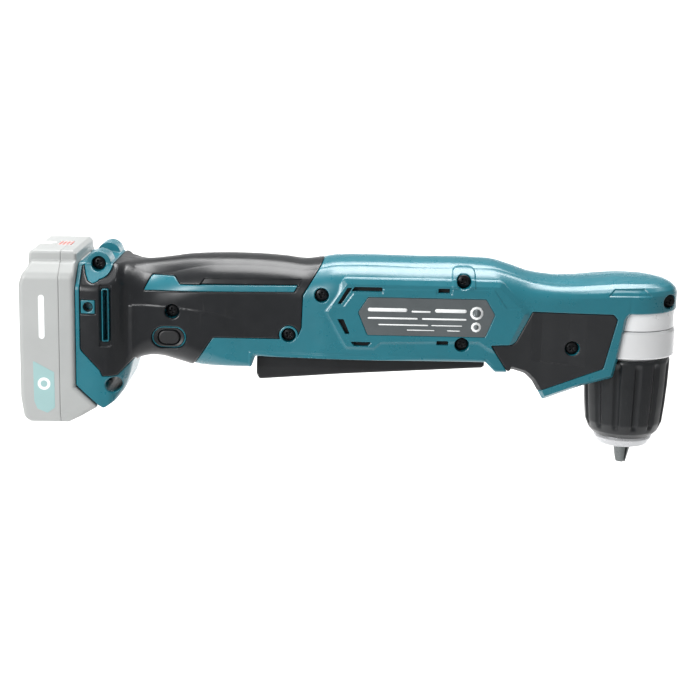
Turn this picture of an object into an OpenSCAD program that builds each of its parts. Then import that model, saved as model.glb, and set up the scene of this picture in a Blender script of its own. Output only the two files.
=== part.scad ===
// Right-angle cordless drill: a level grip with a slide-on battery at the rear, an angled gear
// head at the front and a three-jaw keyless chuck pointing down.
// Millimetres. Origin on the chuck axis at the jaw tips, +Z up, +X along the grip to the head,
// Y across the tool. The right-hand side of the tool is -Y.

/* [Housing] */
// Wall of the two housing halves
wall = 2.4; // [2.0:0.1:2.8]
// Thickness of the soft grip moulded over the housing
grip_t = 1.5; // [1.0:0.1:1.8]
// Half width of the motor section
body_half_w = 25.2; // [24.8:0.1:25.6]
// Half width of the battery dock
dock_half_w = 31.5; // [31:0.1:32]
// Radius along the top edges of the body
top_r = 15; // [12:0.5:16]
// Outer radius of the gear head
head_r = 24.2; // [24:0.1:24.6]
// Centre of the gear head behind the chuck axis
head_back = 2; // [1.5:0.1:2.2]
// Highest point of the gear head
head_top = 94.1; // [93.8:0.1:95]
// Underside of the gear head
head_under = 78.2; // [77.8:0.1:78.4]

/* [Drive] */
// Height of the motor and gearbox axis
drive_z = 80; // [79.8:0.1:80.2]
// Radius of the motor can
motor_r = 16.8; // [16:0.1:17]
// Gear module of the planetary stage
planet_module = 0.55; // [0.5:0.01:0.55]
// Teeth on the sun gear
sun_teeth = 12; // [12:3:12]
// Teeth on each planet gear
planet_teeth = 21; // [21:3:21]
// Teeth on the bevel pinion
pinion_teeth = 12; // [12:1:12]
// Teeth on the bevel gear
bevel_teeth = 30; // [30:1:30]
// Pitch radius of the bevel gear
bevel_r = 12.5; // [12:0.1:12.8]
// Play between mating teeth, at the pitch circle
tooth_play = 0.16; // [0.1:0.02:0.24]

/* [Chuck] */
// Radius gripped by the jaws as they stand
grip_r = 1.0; // [0.9:0.05:1.2]
// Lean of each jaw from the chuck axis, in degrees
jaw_lean = 14; // [13.5:0.5:14.5]
// Radius of a jaw's round shank
jaw_r = 3.5; // [3.3:0.1:3.6]
// Outer radius of the three jaws at their tips
jaw_tip_r = 2.3; // [2.2:0.1:2.5]
// Largest radius of the turning sleeve
sleeve_r = 20.8; // [20.6:0.1:21]
// Number of flutes round the sleeve
flutes = 14; // [10:1:18]
// Outer radius of the chuck's rear ring
ring_r = 22.4; // [22:0.1:22.6]

/* [Trigger] */
// Width of the paddle trigger
paddle_w = 26; // [24:0.5:26.5]
// Hinge pin's place along the tool
pin_x = -76; // [-77:0.5:-75]
// Height of the hinge pin
pin_z = 55.6; // [55:0.1:56]
// Radius of the hinge pin
pin_r = 1.5; // [1.4:0.1:1.6]

/* [Battery] */
// Width of the battery
battery_w = 66; // [65:0.5:67]
// Rear face of the battery
battery_back = -290.8; // [-291:0.1:-290]
// Front face of the battery, where it meets the dock
battery_face = -264.8; // [-265:0.1:-264.7]
// Radius of one cell
cell_r = 9.1; // [9:0.05:9.2]

/* [Hidden] */
$fn = 48;

// Colours
teal = "#2f7f8c";
rubber = "#3b3f42";
black = "#303538";
silver = "#d9dadb";
steel = "#8b9093";
brass = "#c9a45c";
copper = "#b87333";
pale = "#c0c2c1";

far = 120;          // longer than any cut has to be
play = 0.3;         // gap round a part that slides or swings
run = 0.05;         // radial clearance of a running fit
dock_x = -264.5;    // face of the dock that the battery lies against

// ---------------------------------------------------------------- outlines, as [x, z]
top_line = [
    [dock_x, 98.7], [-260.5, 101.6], [-254.7, 102.7], [-249.6, 100.6], [-246, 97.6],
    [-241, 96.4], [-234, 96.3], [-225, 97.3], [-214, 98.9], [-202, 99.7], [-190, 99.9],
    [-179, 99.7], [-168, 99], [-156, 97.7], [-150, 98.4], [-144, 99.9], [-138, 100.3],
    [-72, 100.3], [-66, 99.8], [-59, 97.2], [-50, 94.3], [-40, 92.8], [-20, 93],
    [-12, 94], [-2, 94]
];
under_handle = [
    [-183, 48.6], [-202, 47.6], [-208, 47.6], [-219, 50.6], [-225, 52.4], [-231, 53.2],
    [-237.8, 52.2]
];
web_line = [
    [-2, head_under], [-4.6, 76], [-7.8, 56], [-10, 46.9], [-24.7, 42.6], [-43, 35.4],
    [-45.6, 40], [-48.4, 44.7], [-52, 48.2], [-58.8, 50.2], [-59.9, 49.3], [-66.4, 49.3],
    [-71, 54], [-181, 54.3]
];
dock_line = [
    [-240.6, 42], [-243, 36.5], [-246.5, 32.5], [-251.8, 29.2], [-253.9, 30.6],
    [dock_x, 40.1]
];
body_outline = concat(top_line, web_line, under_handle, dock_line);
cavity_front = [
    [-10.5, 78.6], [-10.5, 74], [-14, 51], [-25, 47], [-40.5, 41.5], [-43.5, 45.5],
    [-49.5, 50.2], [-59, 53], [-66, 53.4], [-71, 56.5], [-181, 56.8]
];
half_plan = [
    [dock_x, dock_half_w], [-252, dock_half_w], [-245, 27], [-237, 23], [-225, 21.6],
    [-205, 22], [-160, 23], [-151, body_half_w], [-66, body_half_w], [-54, 23.4],
    [-40, 24.2], [-2, 24.2]
];
grip_area = [
    [-262.6, 55.7], [-262.6, 96], [-262, 110], [-148, 110], [-149, 98], [-158.3, 84],
    [-158.8, 68.3], [-160.8, 63.3], [-168.8, 62.6], [-201, 62.5], [-211, 47.6],
    [-212, 40], [-239, 40], [-239, 50.5], [-245, 44.7], [-253.5, 46]
];
web_pad_area = [
    [-69.1, 61.9], [-58.6, 62.5], [-56.9, 64.1], [-49.7, 78.4], [-11.4, 77.7],
    [-9.2, 75.3], [-15.1, 51.4], [-25.6, 47.1], [-42.2, 40.5], [-45.4, 42.8],
    [-49.5, 47.2], [-54, 50.2], [-60, 51.2]
];
plate_area = [
    [-132, 76.8], [-127.5, 84], [-72, 84], [-67.7, 76.8], [-72, 66], [-127.5, 66]
];
accent_area = [
    [-233.8, 84.4], [-230.5, 91], [-219.6, 90.8], [-216.9, 87.3], [-161, 88.1],
    [-162.6, 85.3], [-216.9, 84.4]
];
vents = [
    [[-137.4, 88.3], [-135.1, 88.3], [-140.1, 80.6], [-141.9, 80.6]],
    [[-134, 88.8], [-121, 88.8], [-121, 86.8], [-135.4, 86.8]],
    [[-94.6, 88.8], [-89.2, 88.8], [-89.2, 86.7], [-94.6, 86.7]],
    [[-141.8, 73.3], [-139, 73.3], [-135.9, 66.2], [-137.9, 66.2]],
    [[-134.8, 62.5], [-125.7, 62.5], [-127.3, 60.5], [-133.2, 60.5]],
    [[-94.7, 63.7], [-89.2, 63.7], [-89.2, 61.7], [-94.7, 61.7]]
];
// Housing screws: [x, z, half width of the tool there]
screws = [
    [-254.7, 97.1, 22], [-220.3, 74.8, 21.7], [-164.9, 64.6, 22.9],
    [-149.5, 84.2, body_half_w], [-82.6, 91.9, 23.4], [-82.8, 62.1, body_half_w],
    [-30.2, 61.1, 24.2], [16, 83.3, 16]
];
screw_r = 1.5;
screw_head_r = 3.1;
boss_r = 4.2;
button_x = -221.5;
button_z = 62.3;
lanyard = [-247.2, 40.3];
lanyard_r = 3.6;
nut_x = -258.5;
nut_z = 77.9;
nut_size = 7;
nut_t = 4;
nut_hole_r = 1.65;
led_at = [-27, 0, 43.1];
led_lean = 150.6;
rail_neck = 14;     // half width of the battery rail's neck
rail_half = 18;     // half width of the rail's flange
rail_low = 50;
rail_top = 97;

// ---------------------------------------------------------------- helpers
function arc(c, r, from, to, n) =
    [for (i = [0:n]) let (a = from + (to - from) * i / n) c + r * [cos(a), sin(a)]];
function lifted(line, dz) = [for (p = line) p + [0, dz]];
function mirrored(line) = [for (i = [len(line) - 1:-1:0]) [line[i][0], -line[i][1]]];
function slim(line, g) = [for (p = line) p - [0, g]];
function oval(c, half_x, half_z) = concat(
    arc(c + [half_x - half_z, 0], half_z, -90, 90, 10),
    arc(c - [half_x - half_z, 0], half_z, 90, 270, 10));

// An [x, z] outline, solid from y0 to y1
module side(outline, y0, y1)
    translate([0, y1, 0]) rotate([90, 0, 0]) linear_extrude(y1 - y0) polygon(outline);
// A box from its low corner to its high corner
module block(low, high) translate(low) cube(high - low);
// A cylinder across the tool
module across(x, z, r, y0, y1) translate([x, y1, z]) rotate([90, 0, 0]) cylinder(r=r, h=y1 - y0);
// A cylinder along the drive axis
module along(x0, x1, r) translate([x0, 0, drive_z]) rotate([0, 90, 0]) cylinder(r=r, h=x1 - x0);
// A profile of [radius, x] turned about the drive axis
module turned(profile)
    translate([0, 0, drive_z]) rotate([0, 90, 0]) rotate_extrude() polygon(profile);
module ring(z0, z1, inner, outer)
    translate([0, 0, z0]) difference() {
        cylinder(r=outer, h=z1 - z0);
        translate([0, 0, -1]) cylinder(r=inner, h=z1 - z0 + 2);
    }
// The half of the tool on one side: -1 right, 1 left
module half(s) intersection() {
    children();
    block([-400, min(0, s * far), -10], [100, max(0, s * far), 200]);
}

// A round lead swept along points, with a mitred joint at each
function unit(v) = v / norm(v);
function lead_dir(p, i) = i == 0 ? unit(p[1] - p[0])
    : i == len(p) - 1 ? unit(p[i] - p[i - 1])
    : unit(unit(p[i] - p[i - 1]) + unit(p[i + 1] - p[i]));
module lead(p, r) {
    n = 8;
    rings = [for (i = [0:len(p) - 1])
        let (d = lead_dir(p, i), a = unit(cross(d, [0.1, 0.3, 1])), b = cross(d, a))
        for (k = [0:n - 1]) p[i] + r * (cos(360 * k / n) * a + sin(360 * k / n) * b)];
    sides = [for (i = [0:len(p) - 2]) for (k = [0:n - 1]) for (t = [0, 1])
        let (a = i * n + k, b = i * n + (k + 1) % n)
        t == 0 ? [a, a + n, b + n] : [a, b + n, b]];
    last = (len(p) - 1) * n;
    polyhedron(rings, concat(sides, [[for (k = [0:n - 1]) k]],
        [[for (k = [n - 1:-1:0]) last + k]]));
}

// ---------------------------------------------------------------- gears
pressure = 20;
planet_pitch = planet_module * planet_teeth / 2;
sun_pitch = planet_module * sun_teeth / 2;
ring_teeth = sun_teeth + 2 * planet_teeth;
ring_pitch = planet_module * ring_teeth / 2;
orbit = sun_pitch + planet_pitch;
function inv(a) = tan(a) * 180 / PI - a;
// Half the angle of a tooth at radius r, for pitch radius rp with z teeth and w taken off it
function tooth_half(r, rp, z, w) =
    let (rb = rp * cos(pressure), ra = max(r, rb))
    90 / z - w / rp * 90 / PI + inv(pressure) - inv(acos(rb / ra));
// One flank's [radius, half angle], from root to tip
function flank(rp, z, down, up, w) =
    [for (r = [rp - down, rp - down * 0.35, rp, rp + up * 0.5, rp + up])
        [r, tooth_half(r, rp, z, w)]];
// A gear's outline as [radius, angle]
function gear_polar(rp, z, down, up, w) = let (f = flank(rp, z, down, up, w), n = len(f))
    [for (t = [0:z - 1]) for (k = [0:2 * n - 1])
        let (q = k < n ? f[k] : f[2 * n - 1 - k], s = k < n ? -1 : 1)
        [q[0], 360 * t / z + s * q[1]]];
function gear_xy(rp, z, down, up, w) =
    [for (q = gear_polar(rp, z, down, up, w)) q[0] * [cos(q[1]), sin(q[1])]];
module spur(rp, z, w, h, m) linear_extrude(h) polygon(gear_xy(rp, z, 1.25 * m, m, w));

// A straight bevel gear about +Z with its cone's apex at the origin, teeth towards the apex
module bevel(z, mate, r, face, back) {
    lean = atan(z / mate);
    reach = r / sin(lean);
    m = 2 * r / z;
    rv = r / cos(lean);
    teeth = gear_polar(rv, z / cos(lean), 1.2 * m, 0.95 * m, tooth_play);
    k = (reach - face) / reach;
    whole = [for (t = [0:z - 1]) for (q = [for (i = [0:9]) teeth[i]])
        let (a = q[1] / cos(lean) + 360 * t / z, rad = q[0] * cos(lean))
        [rad * cos(a), rad * sin(a), -(reach / cos(lean) - q[0] * sin(lean))]];
    n = len(whole);
    inner = [for (p = whole) p * k];
    points = concat(whole, inner, [[0, 0, -reach * cos(lean) - back]],
        [[0, 0, -reach * cos(lean) * k + m]]);
    polyhedron(points, concat(
        [for (i = [0:n - 1]) [i, n + i, n + (i + 1) % n]],
        [for (i = [0:n - 1]) [i, n + (i + 1) % n, (i + 1) % n]],
        [for (i = [0:n - 1]) [2 * n, i, (i + 1) % n]],
        [for (i = [0:n - 1]) [2 * n + 1, n + (i + 1) % n, n + i]]));
}

// ---------------------------------------------------------------- housing
// The outside of the grip and motor body, or a skin g inside it
module body_form(g, outline) {
    zc = 100.4 - top_r;
    section = concat([[body_half_w - g, 0]],
        arc([body_half_w - top_r, zc], top_r - g, 0, 90, 6),
        arc([top_r - body_half_w, zc], top_r - g, 90, 180, 6), [[g - body_half_w, 0]]);
    intersection() {
        side(outline, -40, 40);
        linear_extrude(200) polygon(concat(slim(half_plan, g), mirrored(slim(half_plan, g))));
        union() {
            translate([-245, 0, 0]) rotate([90, 0, 90]) linear_extrude(300) polygon(section);
            block([-280, -40, 0], [-244, 40, 150]);
        }
    }
}
module head_form(g)
    translate([-head_back, 0, 0]) rotate_extrude() polygon([
        [0, head_under + g], [head_r - g, head_under + g], [head_r - g, 86.5],
        [head_r - 1.2 - g, 89.4 - g / 2], [head_r - 3.8 - g, 91.6 - g * 0.8],
        [16 - g / 2, 93.2 - g], [9, head_top - 0.2 - g], [0, head_top - g]
    ]);
module outer_form() {
    difference() {
        union() {
            body_form(0, body_outline);
            head_form(0);
            for (s = [-1, 1])
                across(pin_x, pin_z, pin_r + 1.3, min(s * 14, s * 20), max(s * 14, s * 20));
        }
        translate([0, 0, -1]) cylinder(r=ring_r + 0.7, h=69.6);
        translate([0, 0, 60]) cylinder(r=21.4 + run, h=head_under - 60);
        translate([0, 0, 60]) cylinder(r=11.8 + run, h=head_under + wall - 60 + 0.1);
    }
}
module inner_form() {
    handle = concat(
        [for (p = top_line) if (p[0] > -242 && p[0] < -10) p - [0, wall]], cavity_front,
        [for (p = under_handle) if (p[0] > -236) p + [0, wall + 0.2]], [[-240.5, 54]]);
    difference() {
        union() {
            body_form(wall, handle);
            head_form(wall);
        }
        cylinder(r=ring_r + 0.7 + wall, h=69.4);
        translate([0, 0, 60]) cylinder(r=21.4 + 2, h=head_under + wall - 60);
    }
    along(-44, -8, 10 + run);
}
// Screw bosses, ribs that cradle the motor and gears, and the seat of the trigger spring
module bosses_and_ribs() {
    for (p = screws) across(p[0], p[1], boss_r, -p[2], p[2]);
    across(screws[0][0], screws[0][1], 5.6, -20, 20);
    for (s = [-1, 1]) across(pin_x, pin_z, 3.6, min(s * 14, s * 24), max(s * 14, s * 24));
    block([-136, -14.5, 60.2], [-124, 14.5, 61.8]);
    difference() {
        for (x = [-134, -96, -73, -37]) block([x, -26, 44], [x + 2, 26, 102]);
        along(-150, -80, motor_r + run);
        along(-80, -60, 17.1 + run);
        along(-60, -30, 10 + run);
        for (s = [-1, 1]) block([-150, s * 19 - 3, 66.5], [-30, s * 19 + 3, 75.5]);
        block([-40, -6, 40], [-33, 12, 60]);
    }
}
module trigger_slot() side([
    [-181.8, 40], [-181.8, 61], [-140, 59.4], [-138, 60], [-122, 60], [-120, 58.6],
    [-90, 57.4], [-80.4, 57.4], [-80.4, 60], [-71.6, 60], [-71.6, 57], [-69, 57],
    [-69, 40]], -paddle_w / 2 - 0.7, paddle_w / 2 + 0.7);
// T-slot for the battery, open at the bottom, with the chamber of the terminal block behind it
module dock_slot() {
    block([-270, -rail_neck - play, 0], [-260.8, rail_neck + play, rail_top + play]);
    block([-261 - play, -rail_half - play, 0], [-257.6, rail_half + play, rail_top + play]);
    block([-257.7, -12, 81], [-255, 12, 95]);
    block([-256.4, -20, 54], [-243, 20, 93.5]);
    block([-244, -16, 60], [-238, 16, 88]);
}
module screw_holes(s) for (p = screws) {
    if (s < 0) {
        across(p[0], p[1], screw_r + 0.2, -p[2] + 1, 0.1);
        across(p[0], p[1], screw_head_r + 0.3, -p[2] - 8, -p[2] + 4.5);
    } else
        across(p[0], p[1], screw_r, -0.1, p[2] - 5);
}
module grip_layer() difference() {
    intersection() {
        body_form(0, body_outline);
        side(grip_area, -40, 40);
    }
    body_form(grip_t, concat(lifted(top_line, -grip_t), web_line,
        lifted(under_handle, grip_t), dock_line));
    side(accent_area, -40, 40);
    side(oval([button_x, button_z], 8.5, 5.6), -40, 40);
    for (p = screws) across(p[0], p[1], p[0] < -250 ? 7 : boss_r, -40, 40);
    for (s = [-1, 1]) hook_cuts(s);
    dock_slot();
}
module web_pad_layer() for (s = [-1, 1]) difference() {
    intersection() {
        outer_form();
        side(web_pad_area, min(s * 22.6, s * 40), max(s * 22.6, s * 40));
    }
    across(screws[6][0], screws[6][1], 3.6, -40, 40);
}
// The square nut's pocket and the groove for the belt hook, on one side of the dock
module hook_cuts(s) {
    translate([nut_x, s * (dock_half_w - nut_t / 2 + 0.5), nut_z])
        cube([nut_size, nut_t + 1, nut_size], center=true);
    translate([0, s * dock_half_w, 0]) block([-253.5, -3.4, 60.6], [-249.5, 3.4, 86.7]);
}
module shell(s) color(teal) difference() {
    half(s) union() {
        difference() {
            outer_form();
            inner_form();
        }
        intersection() {
            outer_form();
            bosses_and_ribs();
        }
    }
    grip_layer();
    web_pad_layer();
    trigger_slot();
    dock_slot();
    screw_holes(s);
    hook_cuts(s);
    across(pin_x, pin_z, pin_r, -20, 20);
    across(lanyard[0], lanyard[1], lanyard_r, -40, 40);
    side(oval([button_x, button_z], 5.45, 3.7), -40, 40);
    for (v = vents) side(v, -40, 40);
    side(plate_area, s < 0 ? -30 : body_half_w - 0.5, s < 0 ? 0.5 - body_half_w : 30);
    along(-60, -30, 10 + run);
    translate(led_at) rotate([0, led_lean, 0]) {
        translate([0, 0, -3]) cylinder(r=2.55, h=12);
        translate([-3.6, -3.6, -12]) cube([7.2, 7.2, 9.1]);
    }
}
module housing_right() shell(-1);
module housing_left() shell(1);
module grip_right() color(rubber) half(-1) grip_layer();
module grip_left() color(rubber) half(1) grip_layer();
module web_pad_right() color(black) half(-1) web_pad_layer();
module web_pad_left() color(black) half(1) web_pad_layer();
module rating_plate() color("#5f6a6c") side(plate_area, -body_half_w, 0.5 - body_half_w);
module name_plate() color("#5f6a6c") side(plate_area, body_half_w - 0.5, body_half_w);
module housing_screws() color("#2b2d2f") for (p = screws) {
    across(p[0], p[1], screw_r, 1 - p[2], p[2] - 6);
    difference() {
        across(p[0], p[1], screw_head_r, 2 - p[2], 4.5 - p[2]);
        for (a = [0, 90])
            translate([p[0], 2 - p[2], p[1]]) rotate([0, a, 0]) cube([3.4, 2.2, 0.8], center=true);
    }
}
module trigger_pin() color(steel) across(pin_x, pin_z, pin_r, -19.8, 19.8);
module hook_nuts() color(brass) for (s = [-1, 1]) difference() {
    translate([nut_x, s * (dock_half_w - nut_t / 2), nut_z])
        cube([nut_size, nut_t, nut_size], center=true);
    across(nut_x, nut_z, nut_hole_r, -40, 40);
}

// ---------------------------------------------------------------- gear head
module head_case() color(silver) difference() {
    union() {
        ring(69.6, head_under - 0.1, 5, 21.4);
        ring(65.6, 69.7, 5, 11.5);
        ring(head_under - 0.2, 91, 1.5, 11.8);
        along(-42, -8, 10);
    }
    translate([0, 0, 65]) cylinder(r=5.8, h=10);
    translate([0, 0, 66]) cylinder(r=9.5, h=5.3);
    translate([0, 0, 71.2]) cylinder(r=14.2, h=5.3);
    translate([0, 0, 76]) cylinder(r=10.9, h=1.5);
    translate([0, 0, 71.2]) cylinder(r=9.3, h=15.3);
    translate([0, 0, 86]) cylinder(r=6.5, h=4.2);
    along(-16.5, 0, 6.8);
    along(-43, -16.4, 7.5);
}
module spindle_bearings() color(steel) {
    ring(66, 71, 5, 9.5);
    ring(86.6, 90.1, 2.5, 6.5);
}
module pinion_bearings() color(steel) for (x = [-21.5, -37]) difference() {
    along(x, x + 4, 7.5);
    along(x - 1, x + 5, 3 + run);
}
module gearbox_case() color("#9aa0a3") turned([
    [15.2, -66], [16.8, -66], [14, -60], [12, -54], [10.4, -44], [8.6, -44],
    [10.4, -54], [12.4, -60]
]);
module ring_gear() color(steel) translate([-78.5, 0, drive_z]) rotate([0, 90, 0])
    linear_extrude(12.3) difference() {
        circle(r=17.1, $fn=96);
        polygon(gear_xy(ring_pitch, ring_teeth,
            planet_module, 1.25 * planet_module, -tooth_play));
    }

// ---------------------------------------------------------------- motor
module motor_can() color("#74797d") difference() {
    along(-137.5, -87, motor_r);
    along(-138, -88.6, motor_r - 1.1);
    along(-90, -86, 5.5);
}
module motor_magnets() color("#4b4744") for (a = [25, 205])
    translate([-130, 0, drive_z]) rotate([a, 0, 0]) rotate([0, 90, 0])
        rotate_extrude(angle=130) translate([13.2, 0]) square([2.4, 30]);
module motor_end_bell() color("#2a2b2d") difference() {
    union() {
        along(-143, -137.5, 16.4);
        for (s = [-1, 1]) translate([-134.5, s * 9, drive_z]) cube([7, 7, 7], center=true);
    }
    along(-144, -137, 5.5);
    along(-140, -130, 5.2);
    for (s = [-1, 1]) translate([-134.2, s * 9, drive_z]) cube([4.2, 8, 4.2], center=true);
}
module motor_bearings() color(steel) for (x = [-143, -90.5]) difference() {
    along(x, x + 3, 5.5);
    along(x - 1, x + 4, 2 + run);
}
module carbon_brushes() color("#3c3a38") for (s = [-1, 1])
    translate([-134.2, s * 8.8, drive_z]) cube([4, 7.2, 4], center=true);
module armature() color(copper) difference() {
    union() {
        along(-131, -99, 12.4);
        along(-136.6, -131, 4.5);
    }
    along(-140, -90, 2);
    for (k = [0:4]) translate([-115, 0, drive_z]) rotate([72 * k, 0, 0])
        translate([0, 0, 11]) cube([33, 1.6, 5], center=true);
}
module motor_shaft() color(silver) along(-143.4, -69.8, 2);
module cooling_fan() color("#26282a") difference() {
    union() {
        along(-97, -95.8, 12);
        along(-97, -91.2, 4);
        for (k = [0:8]) translate([-93.5, 0, drive_z]) rotate([40 * k, 0, 0])
            translate([0, 0, 7.6]) cube([4.6, 1, 8.6], center=true);
    }
    along(-98, -90, 2);
}
module sun_gear() color(steel) difference() {
    translate([-77.5, 0, drive_z]) rotate([0, 90, 0])
        spur(sun_pitch, sun_teeth, tooth_play, 8, planet_module);
    along(-80, -60, 2);
}
module planet(k) color("#a4a8aa") translate([-77, 0, drive_z]) rotate([0, 90, 0])
    rotate(120 * k) translate([orbit, 0, 0]) difference() {
        spur(planet_pitch, planet_teeth, tooth_play, 7.6, planet_module);
        translate([0, 0, -1]) cylinder(r=1.6 + run, h=10);
    }
module planet_gear_1() planet(0);
module planet_gear_2() planet(1);
module planet_gear_3() planet(2);
module planet_carrier() color(steel) difference() {
    union() {
        along(-69, -65.5, 13.4);
        along(-65.6, -48, 5.2);
        for (k = [0:2]) translate([-77, 0, drive_z]) rotate([0, 90, 0])
            rotate(120 * k) translate([orbit, 0, 0]) cylinder(r=1.6, h=8.2);
    }
    along(-60, -47, 3);
}
module bevel_pinion() color(steel) difference() {
    union() {
        translate([0, 0, drive_z]) rotate([0, 90, 0]) rotate(180 / pinion_teeth)
            bevel(pinion_teeth, bevel_teeth, bevel_r * pinion_teeth / bevel_teeth, 4.2, 1);
        along(-60, -12, 3);
    }
}

// ---------------------------------------------------------------- spindle and chuck
module spindle() color(silver) {
    translate([0, 0, 46]) cylinder(r=5 - run, h=25.4);
    translate([0, 0, 71.3]) cylinder(r=4, h=5.3);
    translate([0, 0, 76.5]) cylinder(r=3, h=10);
    translate([0, 0, 86.4]) cylinder(r=2.5 - run, h=3.6);
}
module bevel_gear() color(steel) difference() {
    translate([0, 0, drive_z])
        bevel(bevel_teeth, pinion_teeth, bevel_r, 4.2, 2.2);
    translate([0, 0, 60]) cylinder(r=4, h=30);
}
// Places a jaw's own axis, which leans out from the chuck axis as it rises
module on_jaw_axis(k, up)
    rotate(120 * k) translate([jaw_tip_r - jaw_r / cos(jaw_lean), 0, 0])
        rotate([0, jaw_lean, 0]) translate([0, 0, up]) children();
jaw_gap = 0.6;      // from each gripping face to the middle of the gap beside it
nut_play = 0.5;     // between the nut and the jaws' backs
module jaw(k) color("#777b7d") rotate(120 * k) difference() {
    intersection() {
        on_jaw_axis(0, -6) cylinder(r=jaw_r, h=41);
        translate([2 * jaw_gap / sqrt(3), 0, 0]) linear_extrude(60)
            polygon([[0, 0], [far / 2, -far * sqrt(3) / 2], [far / 2, far * sqrt(3) / 2]]);
    }
    translate([0, 0, -1]) cylinder(r=grip_r, h=80);
}
module jaw_1() jaw(0);
module jaw_2() jaw(1);
module jaw_3() jaw(2);
function jaw_line(z) = jaw_tip_r + z * tan(jaw_lean);
module chuck_body() color("#9b9fa1") difference() {
    rotate_extrude() polygon([
        [0, 10.1], [11.5, 10.1], [11.5, 25.8], [9.1, 25.8], [9.1, 33.8], [16, 33.8],
        [16, 49.5], [17.5, 49.5], [17.5, 55.5], [16.9, 55.5], [16.9, 64.4], [0, 64.4]
    ]);
    translate([0, 0, 45]) cylinder(r=5, h=30);
    translate([0, 0, 9]) cylinder(r=4.3, h=40);
    for (k = [0:2]) on_jaw_axis(k, -3) cylinder(r=jaw_r + 0.1, h=56.5);
}
module chuck_ring() color(silver) rotate_extrude() polygon([
    [17, 55.9], [ring_r - 0.5, 55.9], [ring_r, 56.4], [ring_r, 67.3], [ring_r - 0.5, 67.8],
    [12.3, 67.8], [12.3, 64.6], [17, 64.6]
]);
module nose_ring() color(silver) rotate_extrude() polygon([
    [11.5, 10.4], [12.5, 10.4], [14.9, 14.3], [14.9, 15], [11.5, 15]
]);
module chuck_sleeve() color("#2c3134") difference() {
    rotate_extrude() polygon([
        [11.5 + 0.08, 15.2], [14.9, 15.2], [17.4, 18], [19.2, 23], [20.2, 30],
        [sleeve_r, 40], [sleeve_r, 52.5], [20.2, 54.5], [17.5 + 0.08, 54.5],
        [17.5 + 0.08, 17.6], [11.5 + 0.08, 17.6]
    ]);
    for (k = [0:flutes - 1]) rotate(360 * k / flutes) translate([22.3, 0, 21])
        cylinder(r=2.2, h=30);
}
module jaw_nut() color(brass) rotate_extrude() polygon([
    [jaw_line(26) + nut_play, 26], [17.5, 26], [17.5, 33.6], [jaw_line(33.6) + nut_play, 33.6]
]);

// ---------------------------------------------------------------- trigger and switch
module trigger_paddle() color(black) difference() {
    union() {
        difference() {
            side([[-180.5, 42.6], [-179.3, 40.6], [-140, 43.9], [-72, 48.4], [-70.7, 49.6],
                [-70.7, 52.8], [-180.5, 52.6]], -paddle_w / 2, paddle_w / 2);
            side([[-178.3, 43], [-140, 46.1], [-73, 50.6], [-73, 60], [-178.3, 60]],
                2 - paddle_w / 2, paddle_w / 2 - 2);
        }
        across(pin_x, pin_z, 3.4, 2 - paddle_w / 2, paddle_w / 2 - 2);
        block([pin_x - 3, 2 - paddle_w / 2, 48], [pin_x + 2.6, paddle_w / 2 - 2, pin_z]);
        block([-178.4, -4, 41.5], [-172.5, 4, 50]);
    }
    across(pin_x, pin_z, pin_r + run, -40, 40);
}
module switch_plunger() color("#1f2022") block([-177, -4, 50.4], [-174, 4, 63.5]);
module switch_body() color("#26282a") difference() {
    block([-204, -11, 62], [-170.5, 11, 86]);
    block([-177.3, -4.3, 61], [-173.7, 4.3, 71]);
}
module heat_sink() color("#b9bcbe") {
    block([-200, 11, 66], [-176, 13, 84]);
    for (i = [0:4]) block([-200 + i * 5.6, 13, 66], [-198.4 + i * 5.6, 16.5, 84]);
}
module controller_board() color("#2d6b3f") {
    block([-212, -12, 88.4], [-168, 12, 90]);
    for (i = [0:3]) translate([-206 + i * 10, 0, 91.2]) cube([6, 9, 2.6], center=true);
}
// Coil that returns the paddle, standing between its floor and the seat in the housing
module trigger_spring() color(silver) {
    turns = 6;
    low = 47.8;
    high = 59.6;
    lead([for (i = [0:turns * 12]) [-130 + 3.1 * cos(30 * i), 3.1 * sin(30 * i),
        low + (high - low) * i / (turns * 12)]], 0.5);
}
module direction_button() color("#1d1e20")
    side(oval([button_x, button_z], 5.15, 3.4), -21.9, 21.9);

// ---------------------------------------------------------------- wiring and lamp
module terminal_block() color("#1f2022") block([-255, -15, 60], [-246, 15, 93]);
module contact_blades() color(brass) for (y = [-8, 8])
    block([-260.5, y - 0.4, 82], [-255, y + 0.4, 94]);
module battery_leads() {
    color("#a02a24") lead([[-246, -6, 84], [-240, -6, 84], [-226, -8, 84], [-204, -8, 80]], 1.1);
    color("#222222") lead([[-246, 6, 84], [-240, 6, 84], [-226, 8, 84], [-204, 8, 80]], 1.1);
}
module motor_leads() {
    color("#a02a24") lead([[-170.5, -6, 75], [-160, -7, 74], [-148, -9, 73], [-143, -9, 73]], 1);
    color("#222222") lead([[-170.5, 6, 75], [-160, 7, 74], [-148, 9, 73], [-143, 9, 73]], 1);
}
module led_leads() color("#333333") lead([
    [-170.5, 9, 72], [-160, 15, 71.5], [-148, 19, 71], [-100, 19, 71], [-60, 19, 71],
    [-50, 17, 67], [-42, 10, 58], [-36, 2, 50], [-31.8, 0, 47.8]], 0.8);
module led_board() color("#2d6b3f") translate(led_at) rotate([0, led_lean, 0])
    translate([-3.5, -3.5, -4]) cube([7, 7, 1]);
module led_lens() color("#f2f4f0") translate(led_at) rotate([0, led_lean, 0])
    translate([0, 0, -3]) cylinder(r=2.5, h=4.5);

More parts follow.
